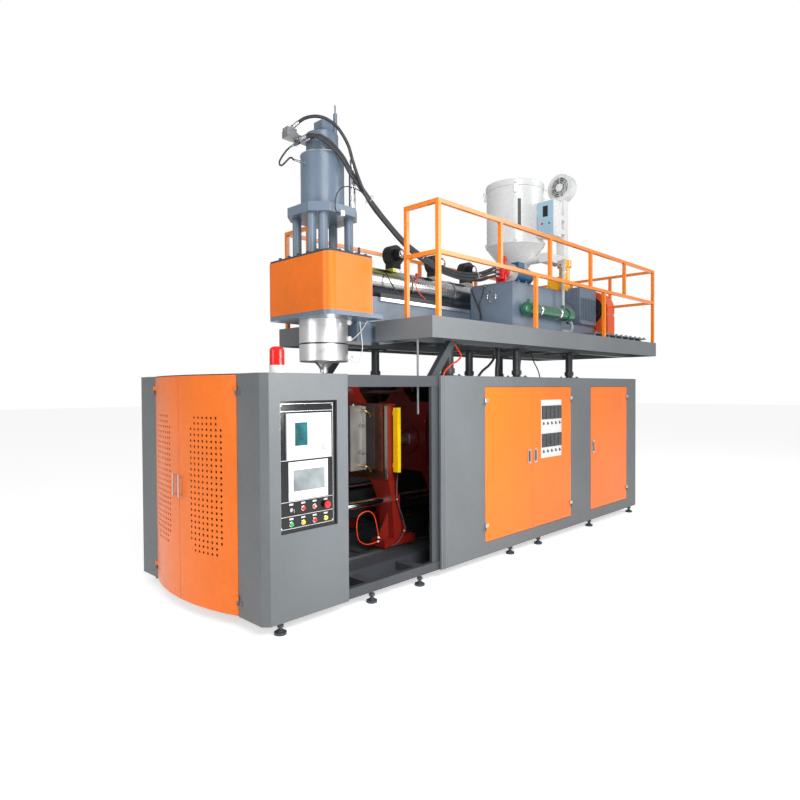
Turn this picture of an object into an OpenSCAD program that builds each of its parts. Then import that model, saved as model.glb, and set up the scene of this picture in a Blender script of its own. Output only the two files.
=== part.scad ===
// Extrusion blow moulding machine with an accumulator head, a sliding clamp and a raised extruder platform.
// Millimetres. The origin is where the vertical axis of the die head meets the floor.
// +X runs along the machine from the head towards the gearbox, -Y is the operator's side, +Z is up.

/* [Cabinets] */
// Width of the machine over the cabinet sides
machine_w = 2000; // [1800:10:2200]
// Height of the underside of the cabinets above the floor
cab_z = 90; // [70:5:120]
// Height of the top of the cabinets above the floor
cab_top = 1850; // [1840:5:1880]
// Length of the front cabinet, without its bulged doors
front_cab_len = 715; // [700:5:800]
// Distance from the head axis to the rear cabinet's edge
rear_cab_gap = 533; // [500:5:560]
// Length of the rear cabinet
rear_cab_len = 4197; // [4150:5:4300]
// Thickness of the cabinet sheet
sheet_t = 4; // [3:0.5:5]

/* [Curved front doors] */
// How far the doors bulge out of the cabinet front
door_bulge = 117; // [90:1:140]
// Diameter of a vent hole
vent_d = 21; // [14:1:26]
// Distance between vent holes
vent_pitch = 44; // [40:1:60]
// Rows of vent holes in a leaf
vent_rows = 24; // [10:1:26]
// Columns of vent holes in a leaf
vent_cols = 8; // [4:1:9]

/* [Side doors] */
// Height of the bottom edge of the side doors
door_z0 = 215; // [180:5:260]
// Height of the top edge of the side doors
door_z1 = 1745; // [1700:5:1745]
// Width of the double door
double_w = 1704; // [1600:4:1750]
// Width of the single door
end_door_w = 1040; // [960:5:1060]

/* [Operator panel] */
// Left edge of the panel opening, measured from the head axis
panel_x = -1198; // [-1210:1:-1190]
// Width of the panel opening
panel_w = 515; // [500:5:560]
// Height of the panel opening
panel_h = 942; // [930:5:980]

/* [Clamp] */
// Height of the clamp cylinder's axis
clamp_z = 1190; // [1170:5:1210]
// Gap from the parting plane to each mould half as the clamp stands
half_open = 151; // [140:1:160]
// Thickness of a mould half
mould_t = 150; // [140:1:200]
// Width of a mould half
mould_w = 400; // [380:5:480]
// Height of a mould half
mould_h = 622; // [600:2:640]
// Thickness of a platen
platen_t = 100; // [90:1:120]
// Width of a platen
platen_w = 898; // [860:2:920]
// Height of the top of a platen
platen_top = 1590; // [1580:5:1620]
// Height of the lower edge of a platen between its legs
platen_z = 850; // [820:5:880]
// Diameter of a tie bar
tie_d = 80; // [76:1:92]
// Height of the upper tie bar
tie_top_z = 1715; // [1700:1:1725]

/* [Platform] */
// Width of the platform
deck_w = 2000; // [1990:5:2100]
// Height of the walking surface
deck_z = 2385; // [2360:5:2400]
// Height of the platform's fascia
deck_h = 195; // [170:5:210]
// Front edge of the platform on the operator's side
deck_x = 422; // [410:1:440]
// Rear edge of the platform
deck_end = 5450; // [5430:5:5600]
// Height of the top of the guard rail above the walking surface
rail_h = 1058; // [950:2:1100]
// Width of the square rail tube
rail_tube = 38; // [34:1:50]

/* [Die head] */
// Radius of the head's lower body
head_r = 230; // [220:1:240]
// Height of the die face
die_z = 1889; // [1886:1:1895]
// Height of the top of the head cover
cover_top = 2930; // [2925:1:2940]
// Width of the head cover
cover_w = 940; // [920:5:960]
// Height of the columns over the head plate
column_h = 384; // [365:1:405]
// Radius of the ram cylinder's lower part
ram_r = 205; // [195:1:215]

/* [Extruder] */
// Height of the extruder screw's axis
screw_z = 2830; // [2824:1:2836]
// Radius of the extruder screw
screw_r = 50; // [45:1:55]
// Distance between the turns of the screw's flight
screw_pitch = 250; // [200:10:300]
// Radius of the heater jacket around the barrel
jacket_r = 142; // [130:1:150]
// Distance of the hopper's axis behind the head axis
hopper_x = 3250; // [3240:1:3270]
// Radius of the gearbox pulley
pulley_r = 205; // [195:1:210]
// Radius of the motor pulley
motor_pulley_r = 110; // [100:1:120]

/* [Hydraulics] */
// Front face of the oil tank
tank_x = 1990; // [1980:5:2000]
// Length of the oil tank
tank_len = 1060; // [1040:5:1070]
// Width of the oil tank
tank_w = 571; // [560:1:574]
// Height of the oil tank
tank_h = 505; // [480:5:520]

/* [Hopper dryer] */
// Radius of the hopper
hopper_r = 370; // [350:5:380]
// Height of the hopper's straight wall
hopper_h = 750; // [740:5:810]

/* [Hidden] */
$fn = 48;

// Fixed sizes
corner_cut = 46;
strip_w = 290;
door_fold = 22;
panel_depth = 16;
button_d = 38;
backing_t = 109;
tie_top_y = 150;
run_gap = 0.05;
deck_far_more = 232;
tread_t = 6;
rail_inset = 3;
head_z = 1990;
cover_r = 90;
column_r = 42;
column_circle = 244;
ram_plate_w = 584;
ram_top_r = 152;
ram_top_h = 200;
jacket_len = 2130;
gear_half = 250;
gearbox_top = 3198;
tank_y = -796;
cooler_r = 62;
outlet_r = 92;
front_cab_gap = 575;
door_gap = 4;
mould_z = 950;
tie_low_z = 670;
tie_low_y = 400;
rail_mid_h = 603;
rail_x = 532;
rail_end = 5376;
cover_len = 521;
panel_z = 710;
button_pitch = 104;
end_door_x = 3401;
double_x = 1201;
gearbox_x = 4550;
gearbox_len = 510;
hopper_z = 3580;
ram_h = 506;
barrel_r = 90;

// Colours
grey = [0.36, 0.38, 0.40];
dark_grey = [0.20, 0.22, 0.25];
orange = [1.0, 0.48, 0.10];
blue_grey = [0.38, 0.45, 0.53];
dark_red = [0.42, 0.07, 0.06];
steel = [0.75, 0.76, 0.78];
white = [0.92, 0.93, 0.93];
black = [0.05, 0.05, 0.06];

// Cut that goes clear of a surface
over = 1;
// Clearance between faces of pieces that move past each other
slip = 0.3;
half_w = machine_w / 2;
deck_half = deck_w / 2;
front_x = -front_cab_gap - front_cab_len;
face_x = front_x - corner_cut;
rear_end = rear_cab_gap + rear_cab_len;
strip_end = half_w - corner_cut - strip_w;

// Circle of the bulged doors
bulge_r = (strip_end * strip_end + door_bulge * door_bulge) / (2 * door_bulge);
bulge_x = face_x - door_bulge + bulge_r;
bulge_angle = asin(strip_end / bulge_r);

// Bed
bed_h = 105;
bed_top = cab_z + bed_h;
bed_half_w = 700;
slide_h = 30;
slide_y = 430;
slide_w = 60;
carriage_h = 25;
foot_t = 70;
foot_bottom = bed_top + slide_h + carriage_h;
foot_top = foot_bottom + foot_t;
sill_h = 80;

// Clamp places along X
mould_back = half_open + mould_t;
platen_x = mould_back + backing_t;
platen_back = platen_x + platen_t;
tail_x = 1160;
tail_t = 130;
hub_len = 180;
rod_r = 50;
piston_r = 100;
piston_x = 1640;
piston_t = 60;
tie_end = 50;
boss_r = tie_d / 2 + 46;

// Head
top_plate_t = 20;
plate_top = cover_top + top_plate_t;
ram_plate_z = plate_top + column_h;
ram_plate_t = 83;
ram_plate_cut = 135;
ram_base = ram_plate_z + ram_plate_t;
ram_mid = ram_base + ram_h;
ram_top = ram_mid + ram_top_h;
column_angles = [-45, 135, 27, 52, 207, 232];
head_base_t = 40;
base_top = deck_z + head_base_t;
base_end = 330;
head_flange_r = 300;
ram_rod_r = 40;
ram_piston_r = 150;
charge_r = 120;
pin_r = 20;

// Platform
deck_z0 = deck_z - deck_h;
fascia_t = 6;
frame_half = 215;
frame_h = 255;
frame_top = deck_z + frame_h;
rail_y = deck_half - rail_inset - rail_tube / 2;
rail_top = deck_z + rail_h;
rail_mid = deck_z + rail_mid_h;
rail_far_x = rail_x - deck_far_more - 12;
post_y = 550;
post_xs = [for (i = [0:2]) 1200 + i * 1243];
middle_post_x = 2250;

// Drive
gearbox_end = gearbox_x + gearbox_len;
pulley_y = -112;
pulley_z = 2910;
pulley_x = gearbox_end + 8;
pulley_t = 100;
motor_y = 510;
motor_z = 2680;
motor_r = 175;
belt_t = 10;
guard_x = pulley_x + 42;
guard_len = 233;
guard_t = 4;
guard_gap = 92;

// Hydraulics
tank_foot = 15;
tank_z = deck_z + tank_foot;
tank_top = tank_z + tank_h;
tank_end = tank_x + tank_len;
tank_mid = tank_y + tank_w / 2;
cooler_y = tank_y - cooler_r - 15;
cooler_z = 2610;
cooler_x = tank_x + 150;
cooler_len = 975;
pump_z = tank_top + 150;

// Hopper dryer
rim_z = hopper_z + hopper_h;
outlet_z = 3200;
hopper_wall = 4;
lid_h = 94;
throat_top = outlet_z;
air_pipe_y = -400;
air_pipe_z = hopper_z - 190;

// Front cabinet outline, moved in by a distance
function cabinet_outline(in) = let (c = corner_cut - in * (2 - sqrt(2)), x = face_x + in,
    y = half_w - in) [
  [-front_cab_gap, -y], [x + c, -y], [x, c - y], [x, y - c], [x + c, y], [-front_cab_gap, y]];

// Points on an arc about a centre
function arc(cx, cy, r, a0, a1, n) = [for (i = [0:n]) let (a = a0 + (a1 - a0) * i / n) [cx + r * cos(a),
    cy + r * sin(a)]];

// Children on the far side, and mirrored on the near side
module both() {
  children();
  mirror([0, 1, 0]) children();
}

module box(x0, x1, y0, y1, z0, z1) {
  translate([x0, y0, z0]) cube([x1 - x0, y1 - y0, z1 - z0]);
}

// Cylinder along X from x0 to x1
module rod_x(x0, x1, y, z, r) {
  translate([x0, y, z]) rotate([0, 90, 0]) cylinder(r = r, h = x1 - x0);
}

// Cylinder along Y from y0 to y1
module rod_y(x, y0, y1, z, r) {
  translate([x, y0, z]) rotate([-90, 0, 0]) cylinder(r = r, h = y1 - y0);
}

module rod_z(x, y, z0, z1, r) {
  translate([x, y, z0]) cylinder(r = r, h = z1 - z0);
}

// Bolt head on a horizontal face
module bolt_z(x, y, z, r, h) {
  translate([x, y, z]) cylinder(r = r, h = h, $fn = 6);
}

// Cup handle plate on a face with normal -Y
module pull_handle(x, z, h, y) {
  difference() {
    box(x - 27, x + 27, y - 10, y, z - h / 2, z + h / 2);
    box(x - 15, x + 15, y - 11, y - 3, z - h / 2 + 18, z + h / 2 - 18);
  }
}

// Bed, sills, uprights and upper beams, one welded frame with the slide rails screwed on
beam_y0 = half_w - sheet_t - 66;
beam_y1 = half_w - sheet_t - 21;
door_track_z = cab_top - 100;
pedestal_r = 60;
pedestal_top = 500;
blow_pin_r = 22;
pad_xs = [front_x + 110, -290, 290, 1700, 2250, 3450, rear_end - 110];
module base_frame() {
  color(dark_grey) {
    both() {
      box(front_x + 60, rear_end - 60, 330, bed_half_w, cab_z, bed_top);
      box(front_x + 60, rear_end - 60, beam_y0, beam_y1, cab_z, cab_z + sill_h);
      box(front_x + 60, 1700, beam_y0, beam_y1, door_track_z, cab_top - sheet_t);
      for (x = [front_x + 60, 1650, rear_end - 120])
        box(x, x + 60, beam_y0, beam_y1, cab_z, cab_top - sheet_t);
      box(-1100, 2300, slide_y - slide_w / 2, slide_y + slide_w / 2, bed_top, bed_top + slide_h);
      for (x = pad_xs) translate([x, (beam_y0 + beam_y1) / 2, 0]) {
        cylinder(r = 45, h = 18);
        cylinder(r = 26, h = 30);
        cylinder(r = 14, h = cab_z + over);
        translate([0, 0, 52]) cylinder(r = 26, h = 20, $fn = 6);
      }
    }
    for (x = [front_x + 60, -340, 240, 2200, 3400, rear_end - 160])
      box(x, x + 100, -beam_y0 - over, beam_y0 + over, cab_z, cab_z + sill_h);
    difference() {
      union() {
        box(-120, 120, -340, 340, cab_z, bed_top);
        rod_z(0, 0, bed_top - over, pedestal_top, pedestal_r);
      }
      rod_z(0, 0, cab_z - over, pedestal_top + over, blow_pin_r + run_gap);
    }
  }
}

// Front cabinet with a roof over the bulged doors and the recess of the operator panel
panel_end = panel_x + panel_w;
panel_top = panel_z + panel_h;
module front_cabinet() {
  wall_h = cab_top - cab_z;
  color(grey)
    difference() {
      union() {
        difference() {
          translate([0, 0, cab_z]) linear_extrude(wall_h) polygon(cabinet_outline(0));
          translate([0, 0, cab_z - over]) linear_extrude(wall_h - sheet_t + over)
            polygon(cabinet_outline(sheet_t));
          box(-front_cab_gap - sheet_t - over, -front_cab_gap + over, sheet_t - half_w, half_w - sheet_t,
            cab_z - over, cab_top - sheet_t);
          box(face_x - over, face_x + sheet_t + over, -strip_end, strip_end,
            cab_z - over, cab_top - sheet_t);
        }
        translate([0, 0, cab_top - sheet_t])
          linear_extrude(sheet_t)
            polygon(concat(arc(bulge_x, 0, bulge_r, 180 - bulge_angle, 180 + bulge_angle, 24)));
        both() {
          box(-front_cab_gap - 40, -front_cab_gap, half_w - 20, half_w, cab_z, cab_top);
          box(face_x, face_x + door_fold, strip_end, strip_end + sheet_t, cab_z, cab_top);
          for (z = leaf_zs) translate([0, 0, z]) hinge_leaf();
        }
        box(panel_x - sheet_t, panel_end + sheet_t, -half_w, panel_depth - half_w,
          panel_z - sheet_t, panel_top + sheet_t);
      }
      box(panel_x, panel_end, -half_w - over, panel_depth - half_w + over, panel_z, panel_top);
    }
}

// Half of a barrel hinge on the grey strip beside a curved door
hinge_r = 9;
hinge_x = face_x - hinge_r - 1;
hinge_y = strip_end + 2;
hinge_h = 34;
leaf_zs = [cab_z + 120, cab_top - 120];
module hinge_leaf() {
  difference() {
    union() {
      translate([hinge_x, hinge_y, -hinge_h]) cylinder(r = hinge_r, h = hinge_h - slip);
      box(face_x - 5, face_x, hinge_y + 2, hinge_y + 44, -hinge_h, -slip);
      box(hinge_x - 2, face_x, hinge_y, hinge_y + 8, -hinge_h, -slip);
    }
    translate([hinge_x, hinge_y, -hinge_h - over]) cylinder(r = hinge_pin_r + run_gap,
        h = hinge_h + 2 * over);
  }
}
hinge_pin_r = 4;

// Curved leaf, one of a pair that meets on the middle plane
leaf_z0 = cab_z + door_gap;
leaf_z1 = cab_top - sheet_t - door_gap;
leaf_a0 = asin(door_gap / 2 / bulge_r);
leaf_a1 = asin((strip_end - door_gap) / bulge_r);
vent_start = 177;
vent_z0 = 512;
module curved_leaf() {
  edge = asin(sheet_t / bulge_r);
  color(orange) {
    difference() {
      leaf_band(0, door_fold, leaf_z0, leaf_z1, leaf_a0, leaf_a1);
      leaf_band(sheet_t, door_fold + over, leaf_z0 + sheet_t, leaf_z1 - sheet_t, leaf_a0 + edge,
          leaf_a1 - edge);
      for (r = [0:vent_rows - 1], c = [0:vent_cols - 1])
        if (!((c == 0 || c == vent_cols - 1) && (r < 2 || r > vent_rows - 3)))
          rod_x(face_x - door_bulge - over, face_x + over, vent_start + c * vent_pitch * 1.1,
            vent_z0 + r * vent_pitch, vent_d / 2);
    }
    for (z = leaf_zs) translate([0, 0, z]) door_knuckle();
    translate([leaf_x(46), 46, 990]) rotate([0, 0, -1.4]) {
      box(-34, -22, -7, 7, -90, 90);
      for (z = [-78, 66]) box(-30, 3, -6, 6, z, z + 12);
    }
  }
}

function leaf_x(y) = bulge_x - sqrt(bulge_r * bulge_r - y * y);

// Part of a ring about the doors' axis, between two angles from the middle plane
module leaf_band(in0, in1, z0, z1, a0, a1) {
  translate([bulge_x, 0, z0]) rotate([0, 0, 180 - a1]) rotate_extrude(angle = a1 - a0, $fn = 240)
    translate([bulge_r - in1, 0]) square([in1 - in0, z1 - z0]);
}

// Upper half of a barrel hinge with its pin, on the leaf
module door_knuckle() {
  translate([hinge_x, hinge_y, 0]) cylinder(r = hinge_r, h = hinge_h);
  translate([hinge_x, hinge_y, -hinge_h]) cylinder(r = hinge_pin_r, h = hinge_h + over);
  box(hinge_x - 4, hinge_x + 4, hinge_y - 42, hinge_y - 1, 0, hinge_h);
  box(hinge_x + 3, leaf_x(hinge_y - 22) + 2, hinge_y - 42, hinge_y - 18, 0, hinge_h);
}

module front_door_near() {
  mirror([0, 1, 0]) curved_leaf();
}

module front_door_far() {
  curved_leaf();
}

// Rear cabinet: near wall with two door openings, far wall that also closes the far side of the mould space
double_end = double_x + double_w;
end_x1 = end_door_x + end_door_w;
seam_w = 10;
module rear_cabinet() {
  color(grey)
    difference() {
      union() {
        box(rear_cab_gap, rear_end, -half_w, sheet_t - half_w, cab_z, cab_top);
        box(slip - front_cab_gap, rear_end, half_w - sheet_t, half_w, cab_z, cab_top);
        box(rear_end - sheet_t, rear_end, -half_w, half_w, cab_z, cab_top);
        box(rear_cab_gap, rear_end, -half_w, half_w, cab_top - sheet_t, cab_top);
        box(rear_cab_gap, rear_cab_gap + 20, -half_w, -half_w + 22, cab_z, cab_top);
        for (x = [rear_cab_gap + 28, rear_cab_gap + 52])
          rod_z(x, -half_w, cab_z, cab_top, 5);
        for (d = [[double_x, double_end], [end_door_x, end_x1]]) {
          box(d[0] - sheet_t, d[1] + sheet_t, -half_w, 20 - half_w, door_z0 - sheet_t, door_z0);
          box(d[0] - sheet_t, d[1] + sheet_t, -half_w, 20 - half_w, door_z1, door_z1 + sheet_t);
          box(d[0] - sheet_t, d[0], -half_w, 20 - half_w, door_z0, door_z1);
          box(d[1], d[1] + sheet_t, -half_w, 20 - half_w, door_z0, door_z1);
        }
        for (x = [double_x, double_end, end_x1], z = side_zs)
          side_hinge(x, z, x == double_x ? -1 : 1);
      }
      for (d = [[double_x, double_end], [end_door_x, end_x1]])
        box(d[0], d[1], -half_w - over, sheet_t - half_w + over, door_z0, door_z1);
      for (x = [900, 2000, 3100, 4200])
        box(x, x + seam_w, half_w - 1, half_w + over, cab_z + 60, cab_top - 60);
      for (r = [0:7])
        box(3300, 3800, half_w - sheet_t - over, half_w + over, 1350 + 34 * r, 1362 + 34 * r);
      for (r = [0:7])
        box(rear_end - sheet_t - over, rear_end + over, -300, 300, 1350 + 34 * r, 1362 + 34 * r);
    }
}

// Fixed half of a side door hinge, outside the near wall
side_zs = [door_z0 + 150, door_z1 - 150];
side_r = 8;
side_y = -half_w - side_r - 1;
module side_hinge(x, z, s) {
  difference() {
    union() {
      translate([x + s * 2, side_y, z - hinge_h]) cylinder(r = side_r, h = hinge_h - slip);
      box(s > 0 ? x + 4 : x - 36, s > 0 ? x + 36 : x - 4, -half_w - 4, -half_w, z - hinge_h, z - slip);
      box(s > 0 ? x + 2 : x - 9, s > 0 ? x + 9 : x - 2, side_y - 3, -half_w, z - hinge_h, z - slip);
    }
    translate([x + s * 2, side_y, z - hinge_h - over])
      cylinder(r = hinge_pin_r + run_gap, h = hinge_h + 2 * over);
  }
}

// Flat door leaf between x0 and x1; its hinges are at x0 when s is -1 and at x1 when s is 1
module side_leaf(x0, x1, s) {
  z0 = door_z0 + door_gap;
  z1 = door_z1 - door_gap;
  xh = s > 0 ? x1 + door_gap : x0 - door_gap;
  handle_x = s > 0 ? x0 + 60 : x1 - 60;
  color(orange) {
    difference() {
      box(x0, x1, -half_w, 20 - half_w, z0, z1);
      box(x0 + sheet_t, x1 - sheet_t, sheet_t - half_w, 20 - half_w + over, z0 + sheet_t, z1 - sheet_t);
    }
    for (z = side_zs) {
      translate([xh + s * 2, side_y, z]) cylinder(r = side_r, h = hinge_h);
      translate([xh + s * 2, side_y, z - hinge_h]) cylinder(r = hinge_pin_r, h = hinge_h + over);
      box(s > 0 ? xh - 40 : xh - 1, s > 0 ? xh + 1 : xh + 40, side_y - 3, side_y + 3, z, z + hinge_h);
      box(s > 0 ? xh - 40 : xh + 10, s > 0 ? xh - 10 : xh + 40, side_y, -half_w, z, z + hinge_h);
    }
    pull_handle(handle_x, 1000, 150, -half_w);
  }
}

double_seam = (double_x + double_end) / 2;
module rear_door_left() {
  side_leaf(double_x + door_gap, double_seam - door_gap / 2, -1);
}

// Right leaf of the double door, cut out for the heater switch panel
heater_x = 2236;
heater_w = 434;
heater_z = 957;
heater_h = 642;
module rear_door_right() {
  difference() {
    side_leaf(double_seam + door_gap / 2, double_end - door_gap, 1);
    color(orange)
      box(heater_x + 12, heater_x + heater_w - 12, -half_w - over, sheet_t - half_w + over,
        heater_z + 12, heater_z + heater_h - 12);
  }
}

module rear_door_end() {
  side_leaf(end_door_x + door_gap, end_x1 - door_gap, 1);
}

// Panel with ten controllers in two rows and a row of switches under each
module heater_panel() {
  pitch = heater_w / 5;
  y = -half_w;
  color(white) {
    box(heater_x, heater_x + heater_w, y - 5, y, heater_z, heater_z + heater_h);
    box(heater_x + 13, heater_x + heater_w - 13, y, y + 60, heater_z + 13, heater_z + heater_h - 13);
    for (row = [0, 1], i = [0:4])
      translate([heater_x + pitch * (i + 0.5), y, heater_z + 118 + row * 310]) {
        box(-pitch / 2 + 6, pitch / 2 - 6, -13, -5, 0, 150);
        for (k = [0:7]) box(-pitch / 2 + 10, pitch / 2 - 10, -17, -13, 10 + 17 * k, 20 + 17 * k);
        translate([0, 0, -46]) box(-9, 9, -11, -5, -16, 16);
        translate([0, 0, -42]) rotate([24, 0, 0]) box(-4, 4, -24, -4, -5, 5);
      }
  }
}

// Sliding guard door of the mould space, pushed back behind the rear cabinet's near wall
guard_x0 = 441;
guard_w = 1150;
guard_y0 = -beam_y1 + 8;
guard_y1 = -beam_y0 - 8;
guard_z0 = cab_z + sill_h + slip;
guard_z1 = door_track_z - slip;
module guard_door() {
  color(dark_grey) {
    difference() {
      box(guard_x0, guard_x0 + guard_w, guard_y0, guard_y1, guard_z0, guard_z1);
      box(guard_x0 + 130, guard_x0 + guard_w - 80, guard_y0 - over, guard_y1 + over, guard_z0 + 520,
          guard_z1 - 90);
      box(guard_x0 + 130, guard_x0 + guard_w - 80, guard_y0 + 4, guard_y1 + over, guard_z0 + 80,
          guard_z0 + 440);
    }
    box(guard_x0 + 120, guard_x0 + guard_w - 70, (guard_y0 + guard_y1) / 2 - 3,
        (guard_y0 + guard_y1) / 2 + 3,
      guard_z0 + 510, guard_z1 - 80);
  }
}

// Rotating beacon: white foot and red lens with a domed top
beacon_x = -1116;
beacon_y = 150 - half_w;
module beacon() {
  color([0.85, 0.08, 0.06])
    translate([beacon_x, beacon_y, cab_top]) {
      cylinder(r = 57, h = 12);
      translate([0, 0, 12]) cylinder(r = 56, h = 46);
      translate([0, 0, 58]) rotate_extrude() polygon([[0, 0], [54, 0], [53, 110], [46, 125], [30, 134],
          [0, 137]]);
    }
}

// Black panel plate behind the recess
fascia_y = panel_depth - half_w;
module control_fascia() {
  holes = [for (r = [0, 1], c = [0:3]) [button_x(c), button_row(r)]];
  color(black)
    difference() {
      box(panel_x - sheet_t - 6, panel_end + sheet_t + 6, fascia_y, fascia_y + 8, panel_z - 10,
          panel_top + 10);
      for (h = holes) rod_y(h[0], fascia_y - over, fascia_y + 8 + over, h[1], 11 + run_gap);
    }
}

function button_x(c) = panel_x + 98 + c * button_pitch;
function button_row(r) = panel_z + 61 + r * 102;

// Controller with a portrait display and a knob, and the touch screen below it
module panel_displays() {
  x0 = panel_x + 56;
  z0 = panel_z + 521;
  w = 403;
  h = 330;
  x1 = panel_x + 74;
  z1 = panel_z + 229;
  color(white) {
    difference() {
      box(x0, x0 + w, fascia_y - 14, fascia_y, z0, z0 + h);
      box(x0 + 70, x0 + 183, fascia_y - 15, fascia_y - 10, z0 + 97, z0 + 265);
    }
    for (c = [0:2], r = [0:4])
      box(x0 + 215 + 42 * c, x0 + 247 + 42 * c, fascia_y - 17, fascia_y - 14, z0 + 120 + 36 * r,
          z0 + 144 + 36 * r);
    rod_y(x0 + 340, fascia_y - 34, fascia_y - 14, z0 + 87, 30);
    rod_y(x0 + 340, fascia_y - 52, fascia_y - 34, z0 + 87, 23);
    difference() {
      union() {
        box(x1, x1 + 354, fascia_y - 8, fascia_y, z1, z1 + 276);
        box(x1 + 17, x1 + 340, fascia_y - 12, fascia_y - 8, z1 + 32, z1 + 262);
      }
      box(x1 + 37, x1 + 321, fascia_y - 13, fascia_y - 9, z1 + 63, z1 + 217);
    }
  }
}

// Six push buttons with their bezels and contact blocks
module push_buttons() {
  spots = [[0, 0], [1, 0], [2, 0], [3, 0], [1, 1], [2, 1]];
  color([0.8, 0.7, 0.2])
    for (s = spots) {
      rod_y(button_x(s[0]), fascia_y - 5, fascia_y, button_row(s[1]), button_d / 2);
      rod_y(button_x(s[0]), fascia_y - 14, fascia_y - 5, button_row(s[1]), button_d / 2 - 4);
      rod_y(button_x(s[0]), fascia_y - 1, fascia_y + 30, button_row(s[1]), 11);
      box(button_x(s[0]) - 15, button_x(s[0]) + 15, fascia_y + 8, fascia_y + 50, button_row(s[1]) - 20,
          button_row(s[1]) + 20);
    }
}

// Mushroom head on its stem
module emergency_stop() {
  color([0.8, 0.06, 0.05])
    translate([button_x(3), fascia_y, button_row(1)]) rotate([90, 0, 0])
      rotate_extrude() polygon([[0, -26], [11, -26], [11, 16], [25, 18], [28, 26], [22, 33], [0, 36]]);
}

// Key in its barrel
module key_switch() {
  color(steel)
    translate([button_x(0), fascia_y, button_row(1)]) {
      rod_y(0, -5, -slip, 0, 14);
      rod_y(0, -4, 26, 0, 11);
      box(-1.5, 1.5, -12, 0, -6, 6);
      difference() {
        box(-1.5, 1.5, -36, -12, -13, 13);
        translate([0, -28, 0]) rotate([0, 90, 0]) cylinder(r = 3, h = 10, center = true);
      }
    }
}

// Outline of a platen seen along X: body, upper boss, lower bosses and legs
leg_w = 180;
leg_y = 340;
module platen_outline() {
  half = platen_w / 2;
  polygon([[-half, platen_z], [-half, platen_top], [half, platen_top], [half, platen_z]]);
  translate([tie_top_y, tie_top_z]) circle(r = boss_r);
  polygon([[tie_top_y - 200, platen_top - over], [tie_top_y - boss_r, tie_top_z], [tie_top_y + boss_r,
      tie_top_z],
    [tie_top_y + 200, platen_top - over]]);
  for (m = [0, 1]) mirror([m, 0]) {
    translate([tie_low_y, tie_low_z]) circle(r = boss_r + 14);
    polygon([[half, platen_z + over], [tie_low_y + boss_r + 10, tie_low_z], [leg_y + leg_w, foot_top],
      [leg_y, foot_top], [tie_low_y - boss_r - 14, tie_low_z], [190, platen_z + over]]);
  }
}

tie_spots = [[tie_top_y, tie_top_z], [tie_low_y, tie_low_z], [-tie_low_y, tie_low_z]];
// Plate with bores for the tie bars, standing from x0 to x0 + t
module platen_plate(x0, t) {
  translate([x0, 0, 0]) rotate([90, 0, 90]) linear_extrude(t) difference() {
    platen_outline();
    tie_holes(tie_d / 2 + run_gap);
  }
}

module tie_holes(r) {
  for (p = tie_spots) translate(p) circle(r = r);
}

// Feet, gussets and slide carriages of a platen; s is the side of the gussets
module platen_feet(x0, x1, gusset_x, s) {
  both() {
    box(x0, x1, leg_y, leg_y + leg_w, foot_bottom, foot_top);
    for (x = [x0 + 20, x1 - 120])
      box(x, x + 100, slide_y - 50, slide_y + 50, bed_top + slide_h + slip, foot_bottom + over);
    for (x = [x0 + 35, (x0 + x1) / 2, x1 - 35], dy = [24, leg_w - 24])
      bolt_z(x, leg_y + dy, foot_top, 13, 12);
    rib(gusset_x, leg_y + leg_w / 2, 22, [[0, foot_top - over], [s * 130, foot_top - over], [0,
        tie_low_z - boss_r - 30]]);
  }
}

// Upright rib at y, of thickness t; the outline gives X from x and Z
module rib(x, y, t, outline) {
  translate([x, y + t / 2, 0]) rotate([90, 0, 0]) linear_extrude(t) polygon(outline);
}

// Platen behind the moving mould half, with T-slots, bolt holes, ribs, hub and clamp rod
module moving_platen() {
  low = tie_low_z - boss_r - 30;
  color(dark_red) {
    difference() {
      platen_plate(platen_x, platen_t);
      for (s = [-1, 1], r = [0:5])
        rod_x(platen_x - over, platen_x + 40, s * 330, 930 + 115 * r, 9);
      for (s = [-1, 1])
        box(platen_x - over, platen_x + 14, s * 385 - 12, s * 385 + 12, platen_z - over, platen_top + over);
    }
    platen_feet(platen_x - 123, platen_x + 287, platen_x + over, -1);
    both() {
      rib(platen_back - over, leg_y + leg_w / 2, 28,
        [[0, foot_top - over], [150, foot_top - over], [150, foot_top + 60], [0, low]]);
      rib(platen_back - over, 200, 30, [[0, platen_z], [110, clamp_z - 120], [110, clamp_z + 120], [0,
          platen_top]]);
    }
    box(platen_back - over, platen_back + 110, -200, 200, clamp_z - 15, clamp_z + 15);
    rod_x(platen_back - over, platen_back + hub_len, 0, clamp_z, 110);
    rod_x(platen_back + hub_len - over, piston_x + piston_t, 0, clamp_z, rod_r);
    rod_x(piston_x, piston_x + piston_t, 0, clamp_z, piston_r - run_gap);
  }
}

// Mould half with its cavity, water fitting, backing plate and clamps, on the +X side of the parting plane
cavity_r = 135;
neck_r = 27;
module mould_half() {
  hw = mould_w / 2;
  difference() {
    box(half_open, mould_back, -hw, hw, mould_z, mould_z + mould_h);
    translate([half_open, 0, mould_z - over]) rotate_extrude()
      polygon([[0, 0], [neck_r, 0], [neck_r, 60], [60, 78], [cavity_r, 150], [cavity_r, 480],
          [cavity_r - 24, 516], [0, 516]]);
  }
  box(mould_back, platen_x, -hw - 55, hw + 55, mould_z + 6, mould_z + mould_h - 6);
  both() for (z = [mould_z + 150, mould_z + 410]) {
    box(mould_back - 24, platen_x - 6, hw - over, hw + 30, z, z + 46);
    rod_x(mould_back - 44, platen_x - 10, hw + 34, z + 23, 12);
  }
  for (y = [-120, 120])
    rod_z(half_open + 110, y, mould_z + mould_h, mould_z + mould_h + 14, 11);
  for (z = [mould_z + mould_h - 46, mould_z + 46])
    rod_y(half_open + 120, -hw - 26, -hw, z, 10);
}

module moving_mould() {
  color(steel) mould_half();
}

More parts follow.
